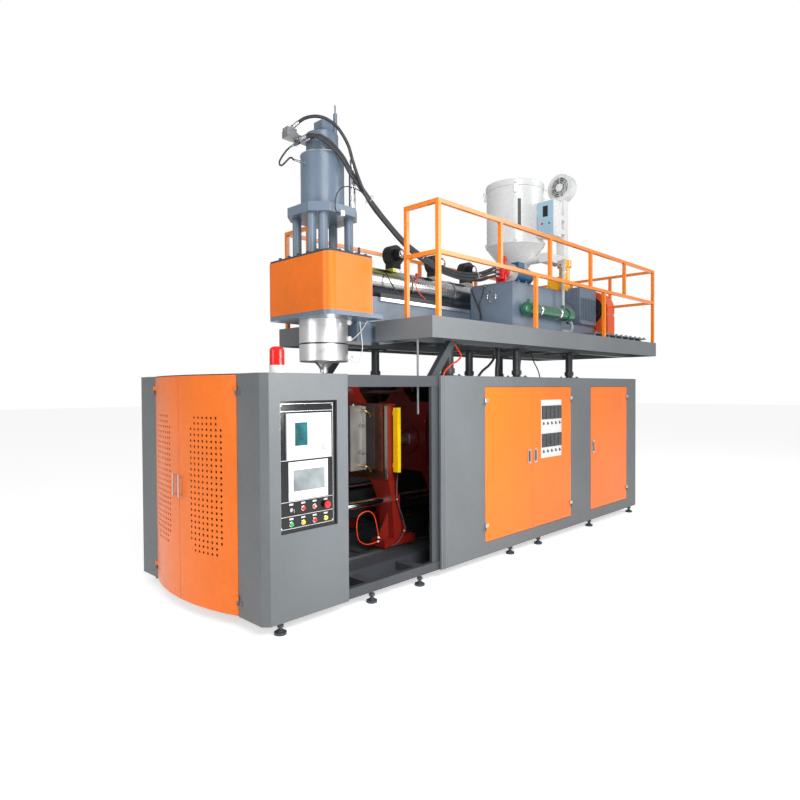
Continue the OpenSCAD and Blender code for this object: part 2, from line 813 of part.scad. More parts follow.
module front_mould() {
  color(steel) mirror([1, 0, 0]) mould_half();
}

// Safety light curtain on the near edge of the moving platen
curtain_x = 460;
module light_curtain() {
  y1 = -platen_w / 2;
  color([1.0, 0.78, 0.05]) {
    box(curtain_x, curtain_x + 42, y1 - 76, y1 - 16, 935, 1555);
    box(curtain_x + 2, curtain_x + 40, y1 - 74, y1 - 18, 917, 935);
    box(curtain_x + 2, curtain_x + 40, y1 - 74, y1 - 18, 1555, 1570);
    for (z = [980, 1480]) box(curtain_x + 6, curtain_x + 36, y1 - 16, y1, z, z + 40);
    rod_z(curtain_x + 21, y1 - 46, 880, 917, 9);
  }
}

// Platen on the cabinet side; the tie bars carry it together with the cylinder plate
front_x0 = -platen_back;
module front_platen() {
  color(dark_red) {
    difference() {
      platen_plate(front_x0, platen_t);
      for (s = [-1, 1], r = [0:5])
        rod_x(-platen_x - 40, -platen_x + over, s * 330, 930 + 115 * r, 9);
    }
    mirror([1, 0, 0]) platen_feet(platen_x - 40, platen_x + 200, platen_x + over, -1);
    for (y = [-200, 0, 200])
      rib(front_x0 + over, y, 30, [[0, platen_z], [-44, 960], [-44, 1480], [0, platen_top]]);
  }
}

// Three tie bars with a nut at each end
tail_end = tail_x + tail_t;
module tie_bars() {
  color(steel)
    for (p = tie_spots) translate([front_x0, p[0], p[1]]) rotate([0, 90, 0]) {
      cylinder(r = tie_d / 2, h = tail_end - front_x0);
      translate([0, 0, -tie_end]) cylinder(r = boss_r - 14, h = tie_end, $fn = 6);
      translate([0, 0, tail_end - front_x0]) cylinder(r = boss_r - 14, h = tie_end, $fn = 6);
    }
}

// Plate at the rear end of the tie bars with the clamp cylinder
cyl_r = 145;
cyl_len = 760;
gland_t = 22;
module clamp_cylinder() {
  color(dark_red)
    difference() {
      union() {
        platen_plate(tail_x, tail_t);
        platen_feet(tail_x - 60, tail_x + 230, tail_end, 1);
        rod_x(tail_x - gland_t, tail_x, 0, clamp_z, 158);
        for (a = [0:45:315])
          rod_x(tail_x - gland_t - 14, tail_x - gland_t + over, 128 * cos(a),
            clamp_z + 128 * sin(a), 11);
        rod_x(tail_end - over, tail_end + cyl_len, 0, clamp_z, cyl_r);
        rod_x(tail_end - over, tail_end + 40, 0, clamp_z, cyl_r + 40);
        for (y = [-300, 300])
          rib(tail_x + over, y, 30, [[0, 900], [-70, 1000], [-70, 1380], [0, 1500]]);
      }
      rod_x(tail_x - gland_t - over, tail_x + 150, 0, clamp_z, rod_r + run_gap);
      rod_x(tail_x + 150 - over, tail_end + cyl_len - 40, 0, clamp_z, piston_r);
    }
}

// Blow pin that rises into the neck of the closed mould
module blow_pin() {
  color(steel) {
    rod_z(0, 0, 210, 900, blow_pin_r);
    rod_z(0, 0, 780, 800, 46);
    translate([0, 0, 900]) cylinder(r1 = blow_pin_r, r2 = 12, h = 26);
  }
}

// Platform: fascia, tread plate, long and cross members, and the raised tread strip
strip_x0 = 3640;
strip_x1 = 5240;
module deck() {
  far_x = deck_x - deck_far_more;
  color(grey) {
    difference() {
      union() {
        box(deck_x, deck_end, -deck_half, deck_half, deck_z0, deck_z);
        box(far_x, deck_x + over, 220, deck_half, deck_z0, deck_z);
      }
      difference() {
        union() {
          box(deck_x + fascia_t, deck_end - fascia_t, fascia_t - deck_half, deck_half - fascia_t,
            deck_z0 - over, deck_z - tread_t);
          box(far_x + fascia_t, deck_x + 20, 220 + fascia_t, deck_half - fascia_t, deck_z0 - over,
              deck_z - tread_t);
        }
        for (s = [-1, 1]) box(deck_x, deck_end, s * post_y - 40, s * post_y + 40, deck_z0, deck_z);
        for (x = concat([deck_x + 160, deck_end - 590], [for (p = post_xs) each [p - 40, p + 621]]))
          box(x, x + 80, -deck_half, deck_half, deck_z0 + 60, deck_z);
        box(middle_post_x - 40, middle_post_x + 40, -post_y, post_y, deck_z0, deck_z);
      }
      box(deck_x - over, deck_x + 360, -268, 220, deck_z0 - over, deck_z + over);
    }
    rod_z(deck_x + 24, -800, 1500, deck_z0 + 30, 10);
    box(deck_x + fascia_t - over, deck_x + 40, -816, -784, deck_z0 + 10, deck_z0 + 26);
    box(strip_x0, strip_x1, -deck_half + 60, -deck_half + 250, deck_z, deck_z + 8);
    for (x = [strip_x0:200:strip_x1 - 10]) box(x, x + 40, -deck_half + 70, -deck_half + 240, deck_z, deck_z + 40);
    box(strip_x0, strip_x1, -deck_half + 60, -deck_half + 250, deck_z + 40, deck_z + 54);
    for (x = [strip_x0 + 60:150:strip_x1 - 20]) bolt_z(x, -deck_half + 80, deck_z + 54, 14, 16);
  }
}

// Columns between the cabinet roof and the platform, with bolted flanges and struts
module deck_columns() {
  h0 = cab_top;
  h1 = deck_z0;
  color(dark_grey) {
    for (p = concat([for (x = post_xs, s = [-1, 1]) [x, s * post_y]], [[middle_post_x, 0]])) {
      rod_z(p[0], p[1], h0, h1, 46);
      for (z = [h0, h1 - 16]) box(p[0] - 95, p[0] + 95, p[1] - 95, p[1] + 95, z, z + 16);
      for (sx = [-1, 1], sy = [-1, 1]) {
        bolt_z(p[0] + sx * 72, p[1] + sy * 72, h0 + 16, 13, 14);
        bolt_z(p[0] + sx * 72, p[1] + sy * 72, h1 - 30, 13, 14);
      }
      rod_z(p[0], p[1], h0 + 40, h0 + 90, 58);
    }
    for (y = [-800, 800]) rib(0, y, 60, [[600, h0], [700, h0], [980, h1], [880, h1]]);
  }
}

// Two-bar guard rail round the platform, open at the head
module guard_rail() {
  t = rail_tube / 2;
  ny = -rail_y;
  span = (rail_end - rail_x) / 5;
  low = [rail_x, rail_x + 1637, rail_x + 3272, rail_end];
  color([1.0, 0.55, 0.12]) {
    for (z = [rail_top - rail_tube, rail_mid - rail_tube]) {
      box(rail_x - t, rail_end + t, ny - t, ny + t, z, z + rail_tube);
      box(rail_far_x - t, rail_end + t, rail_y - t, rail_y + t, z, z + rail_tube);
      box(rail_end - t, rail_end + t, ny - t, rail_y + t, z, z + rail_tube);
      box(rail_x - t, rail_x + t, ny - t, -588 + t, z, z + rail_tube);
      box(rail_far_x - t, rail_far_x + t, 600 - t, rail_y + t, z, z + rail_tube);
    }
    for (x = low) box(x - t, x + t, ny - t, ny + t, deck_z, rail_mid);
    for (x = concat([rail_far_x, rail_end], post_xs)) box(x - t, x + t, rail_y - t, rail_y + t, deck_z,
        rail_top);
    for (i = [0:5]) box(rail_x + i * span - t, rail_x + i * span + t, ny - t, ny + t, rail_mid - t,
        rail_top);
    box(rail_x - t, rail_x + t, -588 - t, -588 + t, deck_z, rail_top);
    box(rail_far_x - t, rail_far_x + t, 600 - t, 600 + t, deck_z, rail_top);
    for (y = [-325, 325]) box(rail_end - t, rail_end + t, y - t, y + t, deck_z, rail_top);
  }
}

// Box beam under the extruder, joined to the base plate and the block that carry the head
module extruder_frame() {
  color(blue_grey) {
    difference() {
      box(base_end, gearbox_end, -frame_half, frame_half, deck_z, frame_top);
      box(base_end + 20, gearbox_end - 20, -frame_half + 10, frame_half - 10, deck_z + 10,
          frame_top - 12);
    }
    difference() {
      union() {
        translate([0, 0, deck_z]) linear_extrude(head_base_t) cover_plan(2);
        box(cover_x1, base_end, 2 - cover_w / 2, cover_w / 2 - 2, deck_z, base_top);
      }
      rod_z(0, 0, deck_z - over, base_top + over, head_r + 4);
    }
    box(head_r + 24, deck_x + 340, -190, 190, deck_z0 + 5, deck_z + over);
  }
}

// Sheet cover round the head, open at the back where the barrel enters
cover_x0 = -325;
cover_x1 = cover_x0 + cover_len;
cover_h = cover_top - base_top;
module cover_plan(in) {
  r = cover_r - in;
  hy = cover_w / 2 - in;
  x0 = cover_x0 + in;
  polygon(concat([[cover_x1 + (in > 0 ? over : 0), -hy]], arc(x0 + r, r - hy, r, 270, 180, 12),
    arc(x0 + r, hy - r, r, 180, 90, 12), [[cover_x1 + (in > 0 ? over : 0), hy]]));
}

module head_cover() {
  color(orange)
    translate([0, 0, base_top]) {
      difference() {
        linear_extrude(cover_h) cover_plan(0);
        translate([0, 0, -over]) linear_extrude(cover_h + 2 * over) cover_plan(3);
      }
      both() box(cover_x1 - 4, cover_x1, cover_w / 2 - 40, cover_w / 2, 0, cover_h);
    }
}

// Thick plate on top of the head, with bolts and a lifting eye
module head_plate() {
  color(dark_grey) {
    difference() {
      union() {
        translate([0, 0, cover_top]) linear_extrude(top_plate_t) intersection() {
          cover_plan(6);
          translate([-600, -600]) square([1200, 1200]);
        }
        box(cover_x1, cover_x1 + 60, -300, 300, cover_top, plate_top);
      }
      rod_z(0, 0, cover_top - over, plate_top + over, ram_rod_r + 12);
    }
    for (s = [-1, 1], i = [0:4]) bolt_z(-250 + i * 104, s * 410, plate_top, 17, 22);
    for (i = [0:4]) bolt_z(-290, -280 + i * 140, plate_top, 17, 22);
    for (y = [-270, -95, 20, 225]) bolt_z(232, y, plate_top, 17, 22);
    difference() {
      union() {
        rod_z(150, -340, plate_top, plate_top + 26, 20);
        translate([150, -340, plate_top + 58]) rotate([90, 0, 45]) cylinder(r = 36, h = 20, center = true);
      }
      translate([150, -340, plate_top + 58]) rotate([90, 0, 45]) cylinder(r = 20, h = 30, center = true);
    }
  }
}

// Accumulator head: banded body, mounting flanges, nozzle and barrel adapter
charge_z0 = 2330;
charge_z1 = 2720;
push_z = charge_z1 - 120;
piston_z = ram_mid - 183;
adapter_x = 330;
module die_head() {
  color(steel)
    difference() {
      union() {
        translate([0, 0, 0]) rotate_extrude($fn = 96)
          polygon([[0, die_z], [38, die_z], [38, die_z + 30], [50, die_z + 55], [84, head_z - 8],
            [head_r - 8, head_z], [head_r, head_z + 8], [head_r, head_z + 160],
            [head_r - 8, head_z + 162], [head_r - 8, head_z + 172], [head_r, head_z + 174],
            [head_r, head_z + 329], [head_r - 3, head_z + 330], [head_r - 3, head_z + 333], [head_r, head_z + 334],
            [head_r, base_top], [head_flange_r, base_top], [head_flange_r, base_top + 40],
            [240, base_top + 44], [240, cover_top - 50], [head_flange_r, cover_top - 46],
            [head_flange_r, cover_top], [0, cover_top]]);
        rod_x(180, adapter_x, 0, screw_z, barrel_r);
      }
      rod_z(0, 0, die_z - over, charge_z0 + over, pin_r + run_gap);
      rod_z(0, 0, die_z - over, 2060, 32);
      for (a = [45:90:315]) rod_z(30 * cos(a), 30 * sin(a), 2050, charge_z0 + over, 8);
      rod_z(0, 0, charge_z0, charge_z1, charge_r);
      rod_z(0, 0, charge_z1 - over, cover_top + over, ram_rod_r + run_gap);
      rod_x(75, adapter_x + over, 0, screw_z, 20);
      rod_z(95, 0, charge_z1 - over, screw_z, 20);
    }
}

// Core pin of the die
module die_pin() {
  color(steel) {
    rod_z(0, 0, die_z - 14, 2240, pin_r);
    translate([0, 0, die_z - 22]) cylinder(r1 = 26, r2 = pin_r + 8, h = 8);
    translate([0, 0, die_z - 14]) cylinder(r1 = pin_r + 8, r2 = pin_r, h = 8);
  }
}

// Columns between the head plate and the ram plate, each on a collar
module head_columns() {
  color(blue_grey)
    for (a = column_angles)
      translate([column_circle * cos(a), column_circle * sin(a), plate_top]) {
        cylinder(r = column_r, h = column_h);
        cylinder(r = column_r + 8, h = 34);
      }
}

// Ram plate with cut corners and the stepped hydraulic cylinder on it
module ram_cylinder() {
  h = ram_plate_w / 2;
  c = ram_plate_cut;
  color(blue_grey) {
    difference() {
      union() {
        translate([0, 0, ram_plate_z]) linear_extrude(ram_plate_t)
          polygon([[-h, c - h], [c - h, -h], [h - c, -h], [h, c - h], [h, h - c], [h - c, h], [c - h, h],
              [-h, h - c]]);
        translate([0, 0, ram_base - over]) cylinder(r = ram_r, h = ram_h + over, $fn = 96);
        translate([0, 0, ram_mid - over]) cylinder(r = ram_top_r, h = ram_top_h + over, $fn = 96);
        translate([-50, -60, ram_top - over]) cube([150, 120, 127]);
        rod_z(109, -62, ram_top - over, ram_top + 220, 19);
        rod_z(109, -62, ram_top, ram_top + 300, 7);
        box(-ram_top_r, -100, 20, 84, valve_z0 + 2, valve_z0 + 52);
        rod_x(side_route[len(side_route) - 1][0], 0, 0, side_route[len(side_route) - 1][2], 12);
        rod_x(-ram_r - 22, 0, 0, side_route[len(side_route) - 1][2], 17);
      }
      rod_z(0, 0, ram_plate_z - over, ram_base + 34, ram_rod_r + run_gap);
      rod_z(0, 0, ram_base + 33, ram_mid - 40, ram_piston_r);
    }
    for (a = [0:45:315]) bolt_z(120 * cos(a), 120 * sin(a), ram_top, 9, 10);
  }
}

// Rod with the piston of the ram cylinder above and the push plate of the head below
module head_ram() {
  color(steel) {
    rod_z(0, 0, push_z, piston_z + 40, ram_rod_r);
    rod_z(0, 0, push_z, push_z + 60, charge_r - run_gap);
    rod_z(0, 0, piston_z, piston_z + 60, ram_piston_r - run_gap);
  }
}

// Manifold with two valves, a blue filter bowl and hose fittings
valve_x0 = -385;
valve_y0 = 20;
valve_z0 = 4015;
module valve_block() {
  color([0.45, 0.46, 0.47]) {
    translate([valve_x0, valve_y0, valve_z0]) {
      cube([125, 80, 62]);
      translate([12, 12, 61]) cube([104, 40, 40]);
      translate([6, 51, 61]) cube([96, 28, 34]);
    }
    box(-262, -ram_top_r, 20, 84, valve_z0 + 2, valve_z0 + 52);
    for (p = [[-190, 4032], [-236, 4032]]) {
      rod_y(p[0], -15, 21, p[1], 21);
      rod_y(p[0], -2, 12, p[1], 25);
    }
    along(loop_route[0], loop_route[1] - loop_route[0]) {
      translate([0, 0, -50]) cylinder(r = 17, h = 50);
      translate([0, 0, -16]) cylinder(r = 21, h = 12);
    }
    along(side_route[0], side_route[1] - side_route[0]) {
      translate([0, 0, -24]) cylinder(r = 11, h = 24);
      translate([0, 0, -90]) cylinder(r = 19, h = 68);
    }
  }
}

// Children turned so that +Z points along d from the point p
module along(p, d) {
  translate(p) rotate([0, acos(d[2] / norm(d)), atan2(d[1], d[0])]) children();
}

// Linear position sensor on the corner of the ram plate
sensor_x = 206;
sensor_y = -188;
module position_sensor() {
  h = ram_plate_w / 2;
  color(steel) {
    box(sensor_x - 28, sensor_x + 28, sensor_y - 28, sensor_y + 28, ram_base, ram_base + 30);
    rod_z(sensor_x, sensor_y, ram_base + 29, ram_base + 345, 32);
    rod_z(sensor_x, sensor_y, ram_base + 345, ram_base + 455, 18);
    rod_z(sensor_x, sensor_y, ram_base + 455, ram_base + 485, 22);
    box(cable_route[0][0], -6, -h - 34, -h, ram_plate_z - 28, ram_plate_z + 16);
  }
}

// Barrel with its feed throat and thrust housing
barrel_end = gearbox_x;
throat_half = 150;
feed_r = 70;
module barrel() {
  color([0.42, 0.44, 0.46])
    difference() {
      union() {
        rod_x(adapter_x, hopper_x + 300, 0, screw_z, barrel_r);
        rod_x(adapter_x, adapter_x + 46, 0, screw_z, barrel_r + 34);
        box(hopper_x - throat_half, hopper_x + throat_half, -throat_half, throat_half, frame_top,
            throat_top - 14);
        box(hopper_x - 180, hopper_x + 180, -180, 180, throat_top - 14, throat_top);
        rod_x(hopper_x + throat_half - over, barrel_end, 0, screw_z, 172);
        for (x = [3560, 3900, 4240]) rod_x(x, x + 30, 0, screw_z, 186);
        box(3600, 4400, -120, 120, frame_top, screw_z - 100);
        for (x = support_xs) box(x, x + 60, -70, 70, frame_top, screw_z - barrel_r + 12);
      }
      rod_x(adapter_x - over, barrel_end - 60, 0, screw_z, screw_r + run_gap);
      rod_x(barrel_end - 62, barrel_end + over, 0, screw_z, 30 + run_gap);
      rod_z(hopper_x, 0, screw_z, throat_top + over, feed_r);
    }
}

// Heater jacket: a sheet tube in three zones with gaps for the bands
jacket_x = adapter_x + 60;
support_xs = [700, 1500, 2300];
module barrel_cover() {
  zone = jacket_len / 3;
  color(steel)
    for (i = [0:2]) difference() {
      union() {
        rod_x(jacket_x + i * zone, jacket_x + (i + 1) * zone - 12, 0, screw_z, jacket_r);
        rod_x(jacket_x + i * zone + 4, jacket_x + i * zone + 24, 0, screw_z, jacket_r + 5);
        box(blower_xs[i] - 62, blower_xs[i] + 62, -60, 60, screw_z + barrel_r + 20, blower_z0);
      }
      rod_x(jacket_x + i * zone - over, jacket_x + (i + 1) * zone, 0, screw_z, barrel_r + slip);
      for (x = support_xs)
        box(x - 12, x + 72, -84, 84, frame_top - over, screw_z);
      box(blower_xs[i] - 50, blower_xs[i] + 50, -48, 48, screw_z, blower_z0 + over);
    }
}

blower_xs = [943, 1605, 2194];
blower_z0 = screw_z + jacket_r + 24;
blower_r = 106;
// Three fan housings over the jacket, each a short scroll with a motor on the near side
module barrel_blowers() {
  zc = 36 + blower_r;
  color(black)
    for (x = blower_xs) translate([x, 0, blower_z0]) {
      difference() {
        union() {
          rod_y(0, -55, 55, zc, blower_r);
          box(-60, 60, -55, 55, 0, zc);
        }
        rod_y(0, -47, 47, zc, blower_r - 8);
        box(-46, 46, -44, 44, -over, 60);
        rod_y(0, 40, 60, zc, 48);
      }
      rod_y(0, -118, -46, zc, 62);
      rod_y(0, -130, -117, zc, 50);
      rod_y(0, -50, 36, zc, 12);
      rod_y(0, -36, -30, zc, 84);
      for (a = [0:45:315]) translate([0, 0, zc]) rotate([0, a, 0]) box(50, 83, -32, 30, -2, 2);
    }
}

// Screw: root, one flight and a smooth bearing length at the drive end
module screw() {
  turns = round((hopper_x - adapter_x + 80) / screw_pitch);
  color(steel) {
    rod_x(adapter_x + 62, barrel_end - 64, 0, screw_z, 34);
    translate([adapter_x + 70, 0, screw_z]) rotate([0, 90, 0])
      linear_extrude(turns * screw_pitch, twist = -360 * turns, slices = 14 * turns, $fn = 4)
        polygon([[26, -6], [screw_r - 1, -9], [screw_r - 1, 9], [26, 6]]);
    rod_x(hopper_x + 260, barrel_end - 64, 0, screw_z, screw_r);
    rod_x(barrel_end - 66, gearbox_x + 50, 0, screw_z, 30);
  }
}

// Ribbed gearbox with its foot, breather and input shaft bearing
module gearbox() {
  color(blue_grey) {
    difference() {
      union() {
        box(gearbox_x, gearbox_end, -gear_half, gear_half, frame_top + 24, gearbox_top);
        box(gearbox_x, gearbox_end, -gear_half + 30, gear_half - 30, frame_top, frame_top + 24);
      }
      rod_x(gearbox_x - over, gearbox_x + 60, 0, screw_z, 60);
      rod_x(gearbox_end - 30, gearbox_end + over, pulley_y, pulley_z, 28 + run_gap);
    }
    for (i = [0:8]) box(gearbox_x + 50 + i * 48, gearbox_x + 62 + i * 48, -gear_half - 22, gear_half + 22,
      frame_top + 90, gearbox_top - 150);
    for (i = [0:5]) box(gearbox_x - 20, gearbox_x + over, -gear_half + 20 + i * 88,
        -gear_half + 34 + i * 88,
      screw_z + 190, gearbox_top - 20);
    box(gearbox_x + 20, gearbox_end - 20, -gear_half - 14, gear_half + 14, frame_top + 24, frame_top + 54);
    rod_z(gearbox_x + 120, 100, gearbox_top, gearbox_top + 50, 24);
    for (s = [-1, 1]) bolt_z(gearbox_x + 300, s * 180, gearbox_top, 22, 18);
  }
}

// V-belt pulley with spokes on the gearbox input shaft
module pulley(r, hub_r) {
  rotate([0, 90, 0]) difference() {
    rotate_extrude($fn = 96) polygon([[28, 0], [r, 0], [r, 50], [r - 9, 58], [r, 66], [r, 70], [r - 9,
        78], [r, 86],
      [r, pulley_t], [28, pulley_t]]);
    for (a = [0:72:288]) rotate([0, 0, a]) translate([(hub_r + r - 24) / 2, 0, -over])
      cylinder(r = (r - 30 - hub_r) / 2, h = pulley_t + 2 * over);
  }
}

module gearbox_pulley() {
  color([0.25, 0.25, 0.26]) {
    translate([pulley_x, pulley_y, pulley_z]) pulley(pulley_r, 56);
    rod_x(gearbox_end - 28, pulley_x + pulley_t - 2, pulley_y, pulley_z, 28);
  }
}

module motor_pulley() {
  color([0.25, 0.25, 0.26]) {
    translate([pulley_x, motor_y, motor_z]) pulley(motor_pulley_r, 40);
    rod_x(motor_front - 40, pulley_x + pulley_t - 2, motor_y, motor_z, 28);
  }
}

// Pair of belts round both pulleys
module drive_belts() {
  color(black)
    for (x = [pulley_x + 52, pulley_x + 72])
      translate([x, 0, 0]) rotate([90, 0, 90]) linear_extrude(16) difference() {
        belt_loop(belt_t);
        belt_loop(slip);
      }
}

// Outline of a loop round the two pulleys, a distance outside their rims
module belt_loop(out) {
  dy = motor_y - pulley_y;
  dz = motor_z - pulley_z;
  d = sqrt(dy * dy + dz * dz);
  base = atan2(dz, dy);
  lean = acos((pulley_r - motor_pulley_r) / d);
  polygon(concat(
    arc(pulley_y, pulley_z, pulley_r + out, base + lean, base + 360 - lean, 40),
    arc(motor_y, motor_z, motor_pulley_r + out, base - lean, base + lean, 24)));
}

// Sheet guard round the belts with a round opening at the gearbox pulley
module belt_guard() {
  color([1.0, 0.42, 0.10]) {
    translate([guard_x, 0, 0]) rotate([90, 0, 90]) difference() {
      linear_extrude(guard_len) guard_outline(guard_gap + guard_t);
      translate([0, 0, guard_t]) linear_extrude(guard_len - 2 * guard_t) guard_outline(guard_gap);
      translate([pulley_y, pulley_z, -over]) cylinder(r = pulley_r + 14, h = guard_t + 2 * over);
      translate([motor_y, motor_z, -over]) cylinder(r = motor_pulley_r + 14, h = guard_t + 2 * over);
    }
    box(guard_x + 20, guard_x + guard_len - 20, motor_y - 50, motor_y + 50, deck_z,
      motor_z - motor_pulley_r - guard_gap);
  }
}

// Outline of the guard: round both pulleys, with a straight near side down to the platform
module guard_outline(out) {
  belt_loop(out);
  translate([pulley_y - pulley_r - out, deck_z + guard_gap + guard_t - out])
    square([pulley_r + out, pulley_z - deck_z - guard_gap]);
}

// Squirrel cage motor with ribs, terminal box and feet
motor_front = 4980;
motor_len = 560;
module drive_motor() {
  x0 = motor_front - motor_len;
  color(blue_grey)
    difference() {
      union() {
        rod_x(x0, motor_front, motor_y, motor_z, motor_r);
        for (a = [0:15:345]) translate([x0 + 60, motor_y, motor_z]) rotate([a, 0, 0])
          box(0, motor_len - 150, -3, 3, motor_r - 4, motor_r + 18);
        rod_x(x0 - 90, x0, motor_y, motor_z, motor_r + 8);
        box(x0 + 160, x0 + 380, motor_y - 90, motor_y + 90, motor_z + motor_r - 20, motor_z + motor_r + 90);
        box(x0 + 60, motor_front - 60, motor_y - 170, motor_y + 170, deck_z, deck_z + 24);
        for (s = [-1, 1])
          box(x0 + 80, motor_front - 80, motor_y + s * 120 - 16, motor_y + s * 120 + 16, deck_z,
              motor_z - 60);
      }
      rod_x(motor_front - 42, motor_front + over, motor_y, motor_z, 28 + run_gap);
    }
}

// Welded oil tank with lid plate, side cover and sight glass
module hydraulic_tank() {
  color(blue_grey)
    difference() {
      union() {
        box(tank_x, tank_end, tank_y, tank_y + tank_w, tank_z, tank_top - 8);
        box(tank_x - 8, tank_end + 8, tank_y - 8, tank_y + tank_w + 4, tank_top - 8, tank_top);
        for (x = [tank_x + 40, tank_end - 120], y = [tank_y + 20, tank_y + tank_w - 80])
          box(x, x + 80, y, y + 60, deck_z, tank_z + over);
        rod_x(tank_x - 12, tank_x, tank_mid - 20, tank_z + 360, 55);
        for (y = [-28, 28]) rod_x(tank_x - 22, tank_x - 10, tank_mid - 20 + y, tank_z + 360, 8);
        rod_z(tank_end - 120, tank_mid + 160, tank_top, tank_top + 60, 40);
      }
      box(tank_x + 6, tank_end - 6, tank_y + 6, tank_y + tank_w - 6, tank_z + 6, tank_top - 12);
    }
}

// Red pump with its filter head, coupling and electric motor on the tank
pump_x = tank_x + 60;
pump_y = tank_mid - 60;
module pump_motor() {
  color([0.25, 0.42, 0.62]) {
    box(pump_x + 20, pump_x + 560, pump_y - 90, pump_y + 90, tank_top, tank_top + 16);
    for (x = [pump_x + 40, pump_x + 300, pump_x + 460])
      box(x, x + 40, pump_y - 60, pump_y + 60, tank_top, pump_z - 30);
    rod_x(pump_x + 19, pump_x + 130, pump_y, pump_z, 62);
    box(pump_x, pump_x + 20, pump_y - 56, pump_y + 30, pump_z - 100, pump_z + 46);
    rod_x(pump_x + 60, pump_x + 110, pump_y, pump_z, 84);
    rod_z(pump_x + 80, pump_y, pump_z, pump_z + 170, 44);
    rod_z(pump_x + 80, pump_y, pump_z + 120, pump_z + 150, 56);
    rod_x(pump_x + 130, pump_x + 240, pump_y, pump_z, 46);
    rod_x(pump_x + 240, pump_x + 560, pump_y, pump_z, 92);
    rod_x(pump_x + 236, pump_x + 256, pump_y, pump_z, 104);
    rod_x(pump_x + 560, pump_x + 610, pump_y, pump_z, 84);
    box(pump_x + 330, pump_x + 460, pump_y - 50, pump_y + 50, pump_z + 80, pump_z + 140);
  }
}

// Shell and tube cooler on two saddles on the tank's near face
module oil_cooler() {
  x1 = cooler_x + cooler_len;
  color([0.10, 0.36, 0.24]) {
    rod_x(cooler_x, x1, cooler_y, cooler_z, cooler_r);
    for (x = [cooler_x, x1 - 110]) rod_x(x, x + 110, cooler_y, cooler_z, cooler_r + 10);
    for (x = [cooler_x + 100, x1 - 124]) rod_x(x, x + 24, cooler_y, cooler_z, cooler_r + 14);
    translate([cooler_x, cooler_y, cooler_z]) sphere(r = cooler_r);
    translate([x1, cooler_y, cooler_z]) sphere(r = cooler_r);
    for (x = [cooler_x + 240, x1 - 300]) {
      rod_x(x, x + 34, cooler_y, cooler_z, cooler_r + 5);
      box(x, x + 34, cooler_y, tank_y, cooler_z - cooler_r + 12, cooler_z - cooler_r + 34);
    }
    for (x = [cooler_x + 60, pipe_x]) rod_z(x, cooler_y, cooler_z, cooler_z + cooler_r + 44, 20);
  }
}

// Yellow filter on its bracket at the tank's end, with the pipe that comes up from the cooler
filter_x = tank_end + 25;
filter_y = -820;
pipe_x = cooler_x + cooler_len - 166;
filter_z = tank_top + 366;
module return_filter() {
  color([1.0, 0.72, 0.05]) {
    rod_z(filter_x, filter_y, tank_top + 24, filter_z - 70, 62);
    rod_z(filter_x, filter_y, tank_top + 5, tank_top + 25, 44);
    rod_z(filter_x, filter_y, filter_z - 80, filter_z, 84);
    bolt_z(filter_x, filter_y, filter_z, 30, 22);
    box(tank_end + 8, filter_x, -780, -700, tank_top + 175, tank_top + 185);
    box(tank_end + 8, tank_end + 18, -780, -600, tank_z + 200, tank_top + 185);
    box(tank_end, tank_end + 9, -700, -620, tank_z + 240, tank_z + 320);
    rod_x(pipe_x - 20, filter_x, filter_y - 10, filter_z - 40, 22);
    rod_z(pipe_x, cooler_y, cooler_z + cooler_r + 44, filter_z - 30, 18);
    box(pipe_x - 22, pipe_x + 22, cooler_y - 22, filter_y + 12, filter_z - 62, filter_z - 18);
    rod_z(pipe_x, cooler_y, filter_z - 110, filter_z - 80, 30);
  }
}

// Hopper with rolled rims, cone, outlet flange and a sight strip
module dryer_hopper() {
  color(white)
    difference() {
      union() {
        translate([hopper_x, 0, 0]) rotate_extrude($fn = 96)
          polygon([[outlet_r, outlet_z + 16], [hopper_r, hopper_z], [hopper_r + 9, hopper_z + 6],
              [hopper_r + 9, hopper_z + 18],
            [hopper_r, hopper_z + 24], [hopper_r, rim_z - 24], [hopper_r + 10, rim_z - 18],
            [hopper_r + 10, rim_z], [hopper_r - hopper_wall, rim_z], [hopper_r - hopper_wall,
                hopper_z + 2],
            [outlet_r - hopper_wall, outlet_z + 16], [outlet_r - hopper_wall, outlet_z], [160, outlet_z],
                [160, outlet_z + 16]]);
        for (a = [215, 305, 35, 125]) round_hopper(a) {
          box(hopper_r - 2, hopper_r + 26, -16, 16, rim_z - 110, rim_z - 30);
          box(hopper_r - 2, hopper_r + 22, -14, 14, hopper_z + 30, hopper_z + 70);
        }
        round_hopper(222) box(hopper_r - 3, hopper_r + 8, -26, 26, hopper_z + 190, hopper_z + 560);
        both() box(hopper_x + hopper_r - 2, lid_hinge_x + 12, 22, 60, rim_z - 60, rim_z - 5);
        rod_y(hopper_x, air_pipe_y, -60, air_pipe_z, 52);
        box(hopper_x - 50, hopper_x + 50, box_y0 + 229, 3 - hopper_r, 3950, 4000);
      }
      rod_y(hopper_x, air_pipe_y - over, 0, air_pipe_z, 46);
      rod_y(lid_hinge_x, -61, 61, lid_hinge_z, 5 + run_gap);
      translate([hopper_x, 0, 0]) rotate_extrude()
        polygon([[0, outlet_z + 18], [outlet_r - 4, outlet_z + 18], [hopper_r - 8, hopper_z],
            [hopper_r - 8, hopper_z + 100], [0, hopper_z + 100]]);
    }
}

lid_hinge_z = rim_z - 14;
lid_hinge_x = hopper_x + hopper_r + 24;
module round_hopper(a) {
  translate([hopper_x, 0, 0]) rotate([0, 0, a]) children();
}

